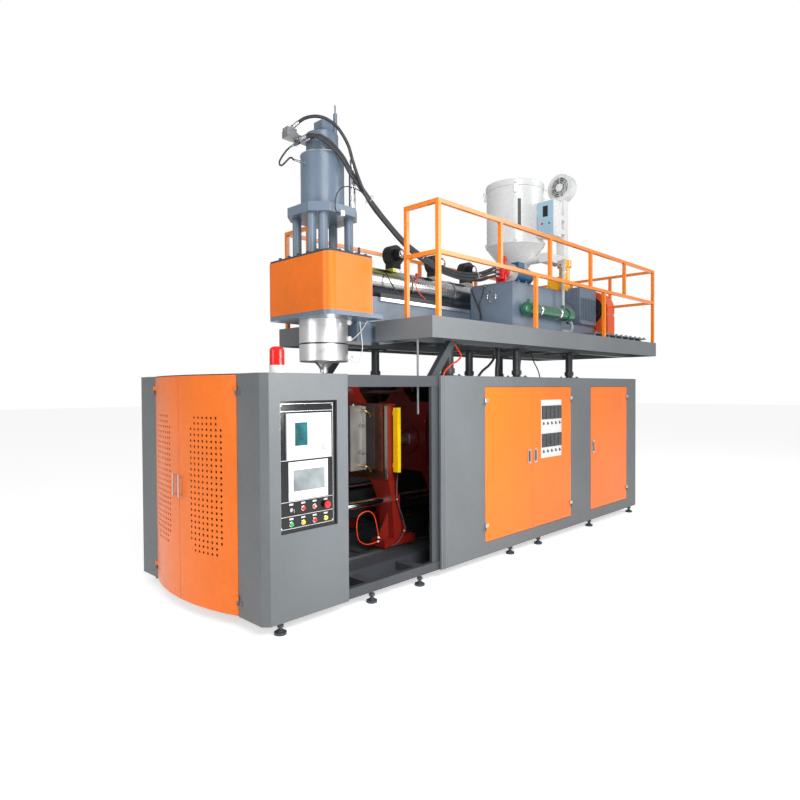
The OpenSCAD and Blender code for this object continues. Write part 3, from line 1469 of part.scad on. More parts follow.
// Lid of the hopper with a filter cap and its hinge tongue
module dryer_lid() {
  color(white) {
    translate([hopper_x, 0, rim_z + slip]) rotate_extrude($fn = 96)
      polygon([[0, 60], [0, lid_h - slip], [60, lid_h - slip], [hopper_r - 30, lid_h - 26],
          [hopper_r + 8, lid_h - 34],
        [hopper_r + 12, lid_h - 44], [hopper_r + 12, 0], [hopper_r - 14, 0], [hopper_r - 14, 44],
            [hopper_r - 40, 50]]);
    box(hopper_x + hopper_r - 20, lid_hinge_x + 6, -20, 20, rim_z + 20, rim_z + 34);
    box(lid_hinge_x - 6, lid_hinge_x + 6, -20, 20, lid_hinge_z, rim_z + 34);
    rod_y(lid_hinge_x, -20, 20, lid_hinge_z, 10);
    rod_y(lid_hinge_x, -60, 60, lid_hinge_z, 5);
  }
}

// Blower housing with a round inlet, heater duct and control box beside the hopper
blow_y = -480;
fan_x = 3640;
duct_x = fan_x - 4;
fan_z = 4352;
fan_r = 165;
box_x = 3190;
box_y0 = -610;
module dryer_blower() {
  color(white) {
    difference() {
      union() {
        rod_x(fan_x - 70, fan_x + 62, blow_y, fan_z, fan_r + 10);
        box(duct_x - 55, duct_x + 55, blow_y - 55, blow_y + 55, 3340, fan_z - 60);
        rod_x(fan_x - 78, fan_x - 60, blow_y, fan_z, fan_r + 2);
      }
      rod_x(fan_x - 60, fan_x + 52, blow_y, fan_z, fan_r);
      rod_x(fan_x - 80, fan_x - 50, blow_y, fan_z, fan_r - 42);
      rod_x(fan_x + 40, fan_x + 62 + over, blow_y, fan_z, 14 + run_gap);
      box(duct_x - 49, duct_x + 49, blow_y - 49, blow_y + 49, 3350, fan_z);
    }
    for (a = [0:45:315]) translate([fan_x - 72, blow_y, fan_z]) rotate([a, 0, 0]) box(-4, 4, -3, 3, 30,
        fan_r - 36);
    rod_x(fan_x - 81, fan_x - 66, blow_y, fan_z, 40);
    rod_x(fan_x + 62, fan_x + 190, blow_y, fan_z, 74);
    box(box_x, box_x + 198, box_y0, box_y0 + 229, 3650, 4097);
    box(box_x + 198, duct_x - 54, -560, -520, 3900, 3960);
    box(box_x + 198, duct_x - 54, -560, -520, 3720, 3780);
    box(hopper_x - 56, duct_x - 54, blow_y - 56, air_pipe_y, air_pipe_z - 56, air_pipe_z + 56);
  }
}

// Fan wheel on the stub of the blower motor's shaft
module dryer_fan() {
  color([0.7, 0.72, 0.72]) {
    rod_x(fan_x - 10, fan_x + 61, blow_y, fan_z, 14);
    rod_x(fan_x - 16, fan_x + 20, blow_y, fan_z, 34);
    rod_x(fan_x + 14, fan_x + 20, blow_y, fan_z, fan_r - 14);
    for (a = [0:36:324]) translate([fan_x, blow_y, fan_z]) rotate([a, 0, 0]) box(-40, 15, -2, 2, 30,
        fan_r - 16);
  }
}

// Round hoses as tubes swept along a route
function unit(v) = v / norm(v);
function route_dir(p, i) = unit(p[min(i + 1, len(p) - 1)] - p[max(i - 1, 0)]);
function side_dir(d) = let (u = abs(d[2]) > 0.9 ? [0, 1, 0] : [0, 0, 1]) unit(cross(d, u));
function catmull(a, b, c, d, t) = 0.5 * ((2 * b) + (c - a) * t + (2 * a - 5 * b + 4 * c - d) * t * t + (3
    * b - a - 3 * c + d) * t * t * t);
function smooth(p, n) = concat([for (i = [0:len(p) - 2], k = [0:n - 1])
  catmull(p[max(i - 1, 0)], p[i], p[i + 1], p[min(i + 2, len(p) - 1)], k / n)], [p[len(p) - 1]]);

module hose(route, r, steps) {
  p = smooth(route, steps);
  n = len(p);
  m = 8;
  rings = [for (i = [0:n - 1]) let (d = route_dir(p, i), u = side_dir(d), v = cross(d, u))
    for (k = [0:m - 1]) p[i] + r * (cos(360 * k / m) * u + sin(360 * k / m) * v)];
  faces = concat([[for (k = [0:m - 1]) k]], [[for (k = [m - 1:-1:0]) (n - 1) * m + k]],
    [for (i = [0:n - 2], k = [0:m - 1]) [i * m + k, (i + 1) * m + k, (i + 1) * m + (k + 1) % m,
        i * m + (k + 1) % m]]);
  polyhedron(points = rings, faces = faces);
}

main_route = [[-236, -15, 4032], [-236, -50, 4032], [-236, -85, 4032], [-225, -155, 4020], [-170, -215,
    3980],
  [-80, -250, 3920], [20, -268, 3840], [125, -270, 3720], [360, -265, 3535], [612, -265, 3350], [860,
      -265, 3200],
  [1090, -280, 3100], [1345, -320, 3012], [1570, -385, 2965], [1760, -490, 2962], [1890, -560, 3005],
  [1978, -570, 3030], [2014, -570, 3030], [2050, -570, 3030]];
second_route = [[-190, -15, 4032], [-190, -50, 4032], [-190, -85, 4032], [-176, -140, 4035], [-130, -190,
    4015],
  [-45, -215, 3965], [50, -238, 3880], [146, -247, 3765], [378, -240, 3570], [630, -240, 3385], [878,
      -240, 3235],
  [1108, -256, 3135], [1362, -296, 3048], [1590, -362, 3000], [1785, -470, 2997], [1910, -556, 3045],
  [1978, -570, 3075], [2014, -570, 3075], [2050, -570, 3075]];
loop_route = [[-300, 40, 4135], [-290, 20, 4149], [-280, 0, 4163], [-245, -68, 4195], [-180, -140, 4208],
  [-100, -195, 4190], [-7, -240, 4124], [80, -275, 3990], [118, -300, 3840], [190, -312, 3672], [345,
      -292, 3496],
  [594, -292, 3316], [840, -292, 3164], [1072, -306, 3062], [1328, -346, 2974], [1554, -414, 2928],
      [1740, -516, 2922],
  [1880, -564, 2958], [1978, -570, 2985], [2014, -570, 2985], [2050, -570, 2985]];
side_route = [[-281, 70, 3978], [-297, 70, 3966], [-313, 70, 3954], [-352, 80, 3912], [-392, 92, 3850],
    [-425, 85, 3795],
  [-445, 50, 3750], [-450, 5, 3738], [-442, -38, 3758], [-415, -52, 3792], [-372, -30, 3812], [-334, 0,
      3815],
  [-298, 0, 3815], [-262, 0, 3815]];
cable_route = [[-52, -309, 3328], [-66, -309, 3328], [-80, -309, 3328], [-104, -311, 3358], [-106, -313,
    3425],
  [-82, -314, 3500], [-40, -314, 3550], [20, -318, 3580], [90, -330, 3580], [180, -345, 3560], [318,
      -330, 3480],
  [570, -330, 3296], [820, -330, 3142], [1060, -344, 3038], [1318, -384, 2950], [1545, -452, 2902],
      [1740, -550, 2900],
  [1890, -594, 2960], [1990, -605, 3010], [2020, -605, 3010], [2050, -605, 3010]];

module main_hose() {
  color(black) hose(main_route, 17, 3);
}

module second_hose() {
  color(black) hose(second_route, 17, 3);
}

module loop_hose() {
  color(black) hose(loop_route, 15, 3);
}

module side_hose() {
  color(black) hose(side_route, 8, 4);
}

module sensor_cable() {
  color(black) hose(cable_route, 5, 3);
}

base_frame();
front_cabinet();
rear_cabinet();
beacon();
control_fascia();
panel_displays();
push_buttons();
deck();
deck_columns();
guard_rail();
extruder_frame();
head_cover();
head_plate();
die_head();
head_columns();
ram_cylinder();
valve_block();
position_sensor();
barrel();
barrel_cover();
barrel_blowers();
gearbox();
drive_motor();
drive_belts();
belt_guard();
hydraulic_tank();
pump_motor();
oil_cooler();
return_filter();
dryer_hopper();
dryer_blower();
main_hose();
loop_hose();
second_hose();
side_hose();
sensor_cable();
front_door_near();
front_door_far();
rear_door_left();
rear_door_right();
heater_panel();
rear_door_end();
guard_door();
emergency_stop();
key_switch();
moving_platen();
moving_mould();
light_curtain();
front_platen();
front_mould();
tie_bars();
clamp_cylinder();
blow_pin();
die_pin();
head_ram();
screw();
gearbox_pulley();
motor_pulley();
dryer_lid();
dryer_fan();
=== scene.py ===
"""Looks of a blow moulding machine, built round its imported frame.

Lengths are millimetres unless said otherwise.
"""
import math

import bmesh
import bpy
from mathutils import Matrix, Vector


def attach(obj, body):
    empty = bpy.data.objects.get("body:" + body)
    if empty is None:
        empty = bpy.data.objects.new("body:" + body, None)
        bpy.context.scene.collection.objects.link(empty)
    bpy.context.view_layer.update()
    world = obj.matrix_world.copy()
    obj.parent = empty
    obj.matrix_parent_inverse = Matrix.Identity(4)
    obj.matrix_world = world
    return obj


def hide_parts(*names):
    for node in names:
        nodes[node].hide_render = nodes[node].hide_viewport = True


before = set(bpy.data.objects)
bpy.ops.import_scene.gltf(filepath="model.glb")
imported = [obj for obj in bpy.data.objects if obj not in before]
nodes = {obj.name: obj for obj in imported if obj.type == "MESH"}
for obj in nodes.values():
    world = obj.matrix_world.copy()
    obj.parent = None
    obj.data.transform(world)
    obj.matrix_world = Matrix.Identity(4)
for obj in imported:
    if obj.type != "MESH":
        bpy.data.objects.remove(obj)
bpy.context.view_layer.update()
MM = 0.001
ROOT = "machine"
TO_REAR, TO_HEAD = (1, 0, 0), (-1, 0, 0)
TO_OPERATOR, TO_FAR_SIDE = (0, -1, 0), (0, 1, 0)
UPWARD = (0, 0, 1)


# Colours

def rgb(red, green, blue):
    """Linear colour of a display colour given from 0 to 255."""
    def linear(c):
        c = c / 255
        return c / 12.92 if c <= 0.04045 else ((c + 0.055) / 1.055) ** 2.4
    return (linear(red), linear(green), linear(blue), 1.0)


GREY = rgb(104, 109, 112)
DECK_GREY = rgb(112, 117, 120)
DARK = rgb(62, 66, 71)
ORANGE = rgb(255, 122, 4)
RAIL_ORANGE = rgb(255, 140, 28)
GUARD_ORANGE = rgb(252, 96, 32)
BLUE_GREY = rgb(114, 130, 148)
DARK_RED = rgb(124, 26, 16)
WHITE = rgb(236, 238, 238)
BLACK = rgb(24, 25, 27)


# Materials

class Surface:
    """A node material under construction."""

    def __init__(self, name):
        self.material = bpy.data.materials.new(name)
        self.material.use_nodes = True
        self.tree = self.material.node_tree
        self.shader = self.tree.nodes["Principled BSDF"]
        self.place = self.node("ShaderNodeTexCoord").outputs["Object"]

    def node(self, kind, **settings):
        n = self.tree.nodes.new(kind)
        for key, value in settings.items():
            setattr(n, key, value)
        return n

    def link(self, a, b):
        self.tree.links.new(a, b)

    def set(self, **sockets):
        for key, value in sockets.items():
            self.shader.inputs[key.replace("_", " ")].default_value = value

    def noise(self, scale, detail=3.0, stretch=None):
        """Noise over the piece; stretch is a scale along each axis."""
        n = self.node("ShaderNodeTexNoise")
        n.inputs["Scale"].default_value = scale
        n.inputs["Detail"].default_value = detail
        source = self.place
        if stretch:
            mapping = self.node("ShaderNodeMapping")
            mapping.inputs["Scale"].default_value = stretch
            self.link(self.place, mapping.inputs["Vector"])
            source = mapping.outputs["Vector"]
        self.link(source, n.inputs["Vector"])
        return n.outputs["Fac"]

    def span(self, value, low, high, start=0.3, stop=0.7):
        """Maps a factor from start..stop to low..high."""
        n = self.node("ShaderNodeMapRange")
        self.link(value, n.inputs["Value"])
        for key, number in (("From Min", start), ("From Max", stop), ("To Min", low), ("To Max", high)):
            n.inputs[key].default_value = number
        return n.outputs["Result"]

    def mix(self, factor, first, second):
        """Colour between two colours or colour sockets."""
        n = self.node("ShaderNodeMix", data_type="RGBA")
        self.feed(factor, n.inputs["Factor"])
        self.feed(first, n.inputs[6])
        self.feed(second, n.inputs[7])
        return n.outputs[2]

    def feed(self, value, socket):
        if isinstance(value, bpy.types.NodeSocket):
            self.link(value, socket)
        else:
            socket.default_value = value

    def combine(self, operation, first, second):
        """Result of a Math node on two values or sockets."""
        n = self.node("ShaderNodeMath", operation=operation)
        self.feed(first, n.inputs[0])
        self.feed(second, n.inputs[1])
        return n.outputs[0]

    def zoned(self, base, zones):
        """Base colour with other colours inside boxes; zones are (low, high, colour)."""
        for low, high, other in zones:
            base = self.mix(self.inside(low, high), base, other)
        return base

    def inside(self, low, high):
        """1 within a box between two corners in millimetres, 0 outside it."""
        centre = [(a + b) / 2 * MM for a, b in zip(low, high)]
        half = [(b - a) / 2 * MM for a, b in zip(low, high)]
        away = self.node("ShaderNodeVectorMath", operation="SUBTRACT")
        self.link(self.place, away.inputs[0])
        away.inputs[1].default_value = centre
        part = self.node("ShaderNodeVectorMath", operation="DIVIDE")
        self.link(away.outputs[0], part.inputs[0])
        part.inputs[1].default_value = half
        size = self.node("ShaderNodeVectorMath", operation="ABSOLUTE")
        self.link(part.outputs[0], size.inputs[0])
        axes = self.node("ShaderNodeSeparateXYZ")
        self.link(size.outputs[0], axes.inputs[0])
        most = axes.outputs[0]
        for axis in (1, 2):
            most = self.combine("MAXIMUM", most, axes.outputs[axis])
        return self.combine("LESS_THAN", most, 1.0)

    def bump(self, height, strength, distance):
        n = self.node("ShaderNodeBump")
        self.link(height, n.inputs["Height"])
        n.inputs["Strength"].default_value = strength
        n.inputs["Distance"].default_value = distance
        self.link(n.outputs["Normal"], self.shader.inputs["Normal"])


def shade(color, factor):
    return tuple(c * factor for c in color[:3]) + (1.0,)


def paint(name, color, rough=0.36, zones=(), coat=0.0, metal_zones=()):
    """Sprayed enamel: faint orange peel, slow tone changes and a little grime.

    zones and metal_zones are (low, high, colour) boxes with a colour of their own.
    """
    s = Surface(name)
    base = s.zoned(color, zones)
    metal = None
    for low, high, other in metal_zones:
        mask = s.inside(low, high)
        base = s.mix(mask, base, other)
        metal = mask if metal is None else s.combine("MAXIMUM", metal, mask)
    cloud = s.span(s.noise(1.7, 4.0), 0.90, 1.04)
    grime = s.span(s.noise(14.0, 6.0), 0.93, 1.0, 0.25, 0.5)
    tone = s.combine("MULTIPLY", cloud, grime)
    toned = s.node("ShaderNodeMix", data_type="RGBA", blend_type="MULTIPLY")
    toned.inputs[0].default_value = 1.0
    s.feed(base, toned.inputs[6])
    s.link(tone, toned.inputs[7])
    s.link(toned.outputs[2], s.shader.inputs["Base Color"])
    s.link(s.span(s.noise(30.0, 5.0), rough - 0.05, rough + 0.08), s.shader.inputs["Roughness"])
    if metal is not None:
        s.link(metal, s.shader.inputs["Metallic"])
    if coat:
        s.set(Coat_Weight=coat, Coat_Roughness=0.12)
    s.bump(s.noise(520.0, 2.0), 0.08, 0.0004)
    return s.material


def brushed(name, color, rough=0.32, grain=(1, 1, 40), zones=(), metallic=1.0):
    """Bare metal with fine parallel scratches, long on the axis with grain's smallest number."""
    s = Surface(name)
    scratches = s.noise(60.0, 6.0, grain)
    base = s.zoned(s.mix(s.span(scratches, 0.0, 1.0), shade(color, 0.82), color), zones)
    s.link(base, s.shader.inputs["Base Color"])
    s.link(s.span(s.noise(7.0, 5.0), rough - 0.07, rough + 0.1), s.shader.inputs["Roughness"])
    s.set(Metallic=metallic)
    s.bump(scratches, 0.12, 0.0003)
    return s.material


def chrome(name, color=(0.82, 0.83, 0.84, 1), rough=0.1):
    """Polished plating with faint smears."""
    s = Surface(name)
    base = s.mix(s.span(s.noise(9.0, 5.0), 0.0, 1.0), shade(color, 0.9), color)
    s.link(base, s.shader.inputs["Base Color"])
    s.link(s.span(s.noise(40.0, 4.0), rough, rough + 0.06), s.shader.inputs["Roughness"])
    s.set(Metallic=1.0)
    s.bump(s.noise(300.0, 2.0), 0.03, 0.0002)
    return s.material


def cast(name, color, rough=0.55):
    """Rough cast or sand-blasted surface."""
    s = Surface(name)
    toned = s.mix(s.span(s.noise(24.0, 6.0), 0.0, 0.35), color, shade(color, 0.55))
    s.link(toned, s.shader.inputs["Base Color"])
    s.link(s.span(s.noise(60.0, 4.0), rough - 0.08, rough + 0.12), s.shader.inputs["Roughness"])
    s.set(Metallic=0.25)
    s.bump(s.noise(260.0, 4.0), 0.3, 0.0012)
    return s.material


def plastic(name, color, rough=0.3, glow=0.0, zones=()):
    """Moulded plastic; glow lights it a little from inside."""
    s = Surface(name)
    base = s.zoned(color, zones)
    toned = s.mix(s.span(s.noise(45.0, 4.0), 0.0, 0.12), base, shade(color, 0.8))
    s.link(toned, s.shader.inputs["Base Color"])
    s.link(s.span(s.noise(80.0, 3.0), rough - 0.04, rough + 0.05), s.shader.inputs["Roughness"])
    if glow:
        s.set(Emission_Color=color, Emission_Strength=glow)
    s.bump(s.noise(900.0, 2.0), 0.05, 0.0002)
    return s.material


def rubber(name, color=(0.022, 0.023, 0.026, 1), rough=0.42):
    """Hose cover: fine wrapped-cloth ripple under a dull sheen."""
    s = Surface(name)
    base = s.mix(s.span(s.noise(18.0, 5.0), 0.0, 1.0), color, shade(color, 2.2))
    s.link(base, s.shader.inputs["Base Color"])
    s.link(s.span(s.noise(50.0, 4.0), rough - 0.08, rough + 0.1), s.shader.inputs["Roughness"])
    s.bump(s.noise(420.0, 3.0), 0.2, 0.0006)
    return s.material


def screen(name, dark, light, scale=9.0):
    """Glass over a display: soft patches of light with no writing."""
    s = Surface(name)
    glow = s.mix(s.span(s.noise(scale, 2.0), 0.0, 1.0), dark, light)
    s.link(glow, s.shader.inputs["Base Color"])
    s.link(glow, s.shader.inputs["Emission Color"])
    s.set(Emission_Strength=0.25, Roughness=0.08)
    return s.material


STEEL = (0.60, 0.61, 0.62, 1)
BRASS = (0.70, 0.50, 0.20, 1)

cabinet_paint = paint("cabinet_paint", GREY, 0.42)
deck_paint = paint("deck_paint", DECK_GREY, 0.42)
dark_paint = paint("dark_paint", DARK, 0.45)
orange_paint = paint("orange_paint", ORANGE, 0.32)
rail_paint = paint("rail_paint", RAIL_ORANGE, 0.28, coat=0.3)
guard_paint = paint("guard_paint", GUARD_ORANGE, 0.3, coat=0.2)
blue_paint = paint("blue_grey_paint", BLUE_GREY, 0.34, coat=0.15)
white_enamel = paint("white_enamel", WHITE, 0.25, coat=0.25)
steel = brushed("turned_steel", STEEL)
bright_steel = chrome("bright_steel")
aluminium = brushed("aluminium_strip", (0.78, 0.79, 0.80, 1), 0.28)
brass = brushed("brass", BRASS, 0.25)
black_plastic = plastic("black_plastic", BLACK, 0.35)
white_plastic = plastic("white_plastic", rgb(232, 234, 232), 0.4)
hose_rubber = rubber("hose_rubber")
black_iron = cast("black_iron", rgb(34, 35, 38), 0.5)


# Shapes

def into_scene(o):
    bpy.context.scene.collection.objects.link(o)


class Piece:
    """Solids in millimetres that become one piece."""

    def __init__(self, name):
        self.name = name
        self.bm = bmesh.new()
        self.materials = []

    def index(self, material):
        if material not in self.materials:
            self.materials.append(material)
        return self.materials.index(material)

    def face(self, points, material, smooth=False):
        f = self.bm.faces.new(points)
        f.material_index = self.index(material)
        f.smooth = smooth
        return f

    def prism(self, outline, offset, material):
        """Solid between an outline of points and its copy moved by offset."""
        first = [self.bm.verts.new(p) for p in outline]
        second = [self.bm.verts.new(Vector(p) + Vector(offset)) for p in outline]
        count = len(outline)
        self.face(first[::-1], material)
        self.face(second, material)
        for i in range(count):
            j = (i + 1) % count
            self.face((first[i], first[j], second[j], second[i]), material)

    def box(self, x0, x1, y0, y1, z0, z1, material):
        self.prism([(x0, y0, z0), (x1, y0, z0), (x1, y1, z0), (x0, y1, z0)], (0, 0, z1 - z0), material)

    def sweep(self, points, radii, material, sides=16, closed=False, smooth=True):
        """Round solid along a path, with a radius at each point."""
        points = [Vector(p) for p in points]
        count = len(points)
        rings = []
        side = None
        for i, p in enumerate(points):
            before = points[i - 1] if (i or closed) else points[0]
            after = points[(i + 1) % count] if (i < count - 1 or closed) else points[-1]
            along = after - before
            if along.length < 1e-6:
                along = points[-1] - points[0]
            along.normalize()
            if side is None:
                side = along.orthogonal().normalized()
            side = (side - along * side.dot(along)).normalized()
            up = along.cross(side)
            r = radii[i] if isinstance(radii, (list, tuple)) else radii
            rings.append([self.bm.verts.new(p + (side * math.cos(a) + up * math.sin(a)) * r)
                          for a in (2 * math.pi * k / sides for k in range(sides))])
        last = count if closed else count - 1
        for i in range(last):
            a, b = rings[i], rings[(i + 1) % count]
            for k in range(sides):
                j = (k + 1) % sides
                self.face((a[k], a[j], b[j], b[k]), material, smooth)
        if not closed:
            for ring, turn in ((rings[0], -1), (rings[-1], 1)):
                cap = self.face(ring[::turn], material)
                for edge in cap.edges:
                    edge.smooth = False

    def rod(self, a, b, r, material, sides=20):
        """Straight rod with a small chamfer at its far end."""
        a, b = Vector(a), Vector(b)
        chamfer = min(0.12 * r, 1.5, (b - a).length / 3)
        along = (b - a).normalized()
        self.sweep([a, b - along * chamfer, b], [r, r, r - chamfer], material, sides)

    def bolt(self, p, axis, r, h, material):
        """Hexagon head on its washer."""
        p, axis = Vector(p), Vector(axis).normalized()
        seat, edge, top = (p + axis * h * k for k in (0.2, 0.9, 1.0))
        self.sweep([p, seat], r * 1.25, material, 20)
        self.sweep([seat, edge, top], [r, r, r * 0.85], material, 6, smooth=False)

    def lathe(self, base, axis, profile, material, sides=32):
        """Surface of revolution; profile is (distance along axis, radius)."""
        base, axis = Vector(base), Vector(axis).normalized()
        self.sweep([base + axis * d for d, r in profile], [max(r, 0.05) for d, r in profile], material, sides)

    def ring(self, centre, axis, r, thick, material, sides=40):
        """Torus of round section."""
        centre, axis = Vector(centre), Vector(axis).normalized()
        u = axis.orthogonal().normalized()
        w = axis.cross(u)
        points = [centre + (u * math.cos(t) + w * math.sin(t)) * r
                  for t in (2 * math.pi * k / sides for k in range(sides))]
        self.sweep(points, thick, material, 10, closed=True)

    def done(self, body=ROOT, replaces=(), bevel=0.0):
        """Makes the object, which rides on body and may stand in for solids of the frame."""
        bmesh.ops.recalc_face_normals(self.bm, faces=self.bm.faces)
        bmesh.ops.scale(self.bm, vec=(MM, MM, MM), verts=self.bm.verts)
        mesh = bpy.data.meshes.new(self.name)
        self.bm.to_mesh(mesh)
        self.bm.free()
        for material in self.materials:
            mesh.materials.append(material)
        o = bpy.data.objects.new(self.name, mesh)
        into_scene(o)
        if bevel:
            edge = o.modifiers.new("edges", "BEVEL")
            edge.width = bevel * MM
            edge.segments = 2
            edge.limit_method = "ANGLE"
            edge.angle_limit = math.radians(40)
        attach(o, body)
        if replaces:
            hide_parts(*replaces)
        return o


def catmull(a, b, c, d, t):
    """Point between b and c on the smooth curve through four points."""
    return 0.5 * ((2 * b) + (c - a) * t + (2 * a - 5 * b + 4 * c - d) * t * t
                  + (3 * b - a - 3 * c + d) * t * t * t)


def smooth(route, steps):
    """Smooth curve through the points of a route, with some steps to each stretch."""
    p = [Vector(q) for q in route]
    last = len(p) - 1
    points = [catmull(p[max(i - 1, 0)], p[i], p[i + 1], p[min(i + 2, last)], k / steps)
              for i in range(last) for k in range(steps)]
    return points + [p[last]]


def length_of(points):
    return sum((b - a).length for a, b in zip(points, points[1:]))


# Camera at the photograph's place

CAMERA_PLACE = (-3.6599, -4.5447, 1.7339)
YAW, PITCH, ROLL = math.radians(44.18), math.radians(-1.07), math.radians(-0.33)
FOCAL_PIXELS, FRAME_PIXELS, CENTRE_PIXEL = 608.43, 800, 398.66


def make_camera():
    forward = Vector((math.cos(YAW) * math.cos(PITCH), math.sin(YAW) * math.cos(PITCH), math.sin(PITCH)))
    right = Vector((math.sin(YAW), -math.cos(YAW), 0))
    up = right.cross(forward)
    right_rolled = right * math.cos(ROLL) + up * math.sin(ROLL)
    up_rolled = up * math.cos(ROLL) - right * math.sin(ROLL)
    data = bpy.data.cameras.new("camera")
    data.sensor_width = 36
    data.lens = FOCAL_PIXELS / FRAME_PIXELS * data.sensor_width
    data.shift_x = (FRAME_PIXELS / 2 - CENTRE_PIXEL) / FRAME_PIXELS
    data.clip_end = 200
    camera = bpy.data.objects.new("camera", data)
    turn = Matrix((right_rolled, up_rolled, -forward)).transposed().to_4x4()
    camera.matrix_world = Matrix.Translation(CAMERA_PLACE) @ turn
    into_scene(camera)
    bpy.context.scene.camera = camera


make_camera()


# Hoses and cable, along the same routes as their solids

MAIN_ROUTE = [
    (-236, -15, 4032), (-236, -50, 4032), (-236, -85, 4032), (-225, -155, 4020), (-170, -215, 3980),
    (-80, -250, 3920), (20, -268, 3840), (125, -270, 3720), (360, -265, 3535), (612, -265, 3350),
    (860, -265, 3200), (1090, -280, 3100), (1345, -320, 3012), (1570, -385, 2965), (1760, -490, 2962),
    (1890, -560, 3005), (1978, -570, 3030), (2014, -570, 3030), (2050, -570, 3030)]
SECOND_ROUTE = [
    (-190, -15, 4032), (-190, -50, 4032), (-190, -85, 4032), (-176, -140, 4035), (-130, -190, 4015),
    (-45, -215, 3965), (50, -238, 3880), (146, -247, 3765), (378, -240, 3570), (630, -240, 3385),
    (878, -240, 3235), (1108, -256, 3135), (1362, -296, 3048), (1590, -362, 3000), (1785, -470, 2997),
    (1910, -556, 3045), (1978, -570, 3075), (2014, -570, 3075), (2050, -570, 3075)]
LOOP_ROUTE = [
    (-300, 40, 4135), (-290, 20, 4149), (-280, 0, 4163), (-245, -68, 4195), (-180, -140, 4208),
    (-100, -195, 4190), (-7, -240, 4124), (80, -275, 3990), (118, -300, 3840), (190, -312, 3672),
    (345, -292, 3496), (594, -292, 3316), (840, -292, 3164), (1072, -306, 3062), (1328, -346, 2974),
    (1554, -414, 2928), (1740, -516, 2922), (1880, -564, 2958), (1978, -570, 2985), (2014, -570, 2985),
    (2050, -570, 2985)]
SIDE_ROUTE = [
    (-281, 70, 3978), (-297, 70, 3966), (-313, 70, 3954), (-352, 80, 3912), (-392, 92, 3850),
    (-425, 85, 3795), (-445, 50, 3750), (-450, 5, 3738), (-442, -38, 3758), (-415, -52, 3792),
    (-372, -30, 3812), (-334, 0, 3815), (-298, 0, 3815), (-262, 0, 3815)]
CABLE_ROUTE = [
    (-52, -309, 3328), (-66, -309, 3328), (-80, -309, 3328), (-104, -311, 3358), (-106, -313, 3425),
    (-82, -314, 3500), (-40, -314, 3550), (20, -318, 3580), (90, -330, 3580), (180, -345, 3560),
    (318, -330, 3480), (570, -330, 3296), (820, -330, 3142), (1060, -344, 3038), (1318, -384, 2950),
    (1545, -452, 2902), (1740, -550, 2900), (1890, -594, 2960), (1990, -605, 3010), (2020, -605, 3010),
    (2050, -605, 3010)]
FERRULE_LENGTH = 62
HOSE_STEPS = 10


def ferrule(piece, end, towards, r):
    """Crimped steel sleeve with its nut at one end of a hose."""
    end = Vector(end)
    along = (Vector(towards) - end).normalized()
    piece.lathe(end + along * 1, along, [(0, r * 1.28), (16, r * 1.28), (18, r * 1.12)], steel, 6)
    grooves = [(18 + 7 * k + d, r * (1.22 if d else 1.14)) for k in range(5) for d in (0, 2, 5)]
    piece.lathe(end + along * 1, along, grooves + [(FERRULE_LENGTH, r * 1.04)], steel, 20)


def hose(name, route, r, node=None, ferrules=False, material=None, body=ROOT):
    """Round hose along a route; node is the solid that it replaces."""
    points = smooth(route, HOSE_STEPS)
    curve = bpy.data.curves.new(name, "CURVE")
    curve.dimensions = "3D"
    curve.bevel_depth = r * MM
    curve.bevel_resolution = 5
    curve.use_fill_caps = True
    spline = curve.splines.new("POLY")
    spline.points.add(len(points) - 1)
    for p, q in zip(spline.points, points):
        p.co = (*(q * MM), 1)
    curve.materials.append(material or hose_rubber)
    o = bpy.data.objects.new(name, curve)
    into_scene(o)
    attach(o, body)
    if node:
        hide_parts(node)
    if ferrules:
        fittings = Piece(name + "_ferrules")
        ferrule(fittings, route[0], route[1], r)
        ferrule(fittings, route[-1], route[-2], r)
        fittings.done(body)
    tuple(Vector(route[0]) * MM)
    length_of(points) * MM


hose("pressure_hose", MAIN_ROUTE, 17, "main_hose", True)
hose("return_hose", SECOND_ROUTE, 17, "second_hose", True)
hose("top_hose", LOOP_ROUTE, 15, "loop_hose", True)
hose("short_side_hose", SIDE_ROUTE, 8, "side_hose", True)
hose("sensor_lead", CABLE_ROUTE, 5, "sensor_cable")


# Operator panel: trim lines, screens and pilot lights

FASCIA_Y = -984
TRIM_LEFT, TRIM_RIGHT, TRIM_WIDTH = -1192, -714, 4
TRIM_HEIGHTS = (739, 826, 930, 1226, 1575, 1628)
BUTTON_COLUMNS = (-1100, -996, -892, -788)
LOWER_ROW, UPPER_ROW = 771, 873


def panel_trim():
    p = Piece("panel_trim")
    y0, y1 = FASCIA_Y - 3, FASCIA_Y - 0.2
    for z in TRIM_HEIGHTS:
        p.box(TRIM_LEFT, TRIM_RIGHT, y0, y1, z, z + TRIM_WIDTH, aluminium)
    for x in (TRIM_LEFT, TRIM_RIGHT - TRIM_WIDTH):
        p.box(x, x + TRIM_WIDTH, y0, y1, TRIM_HEIGHTS[0] + TRIM_WIDTH, TRIM_HEIGHTS[-1], aluminium)
    # Blank plates over the buttons
    for x in BUTTON_COLUMNS:
        for z in (802, 906):
            p.box(x - 18, x + 18, y0 + 1, y1, z, z + 13, aluminium)
    # Corner screws
    for x in (-1183, -724):
        for z in (750, 1618):
            p.bolt((x, y1, z), TO_OPERATOR, 4, 4, bright_steel)
    p.done(ROOT, bevel=0.5)


def panel_screens():
    p = Piece("panel_screens")
    controller = screen("controller_glass", rgb(12, 60, 66), rgb(32, 112, 118))
    touch = screen("touch_glass", rgb(96, 104, 108), rgb(150, 158, 160), 5)
    p.box(-1071, -960, -996, -994.2, 1329, 1495, controller)
    p.box(-1086, -804, -994.6, -993.2, 1003, 1155, touch)
    p.done(ROOT)


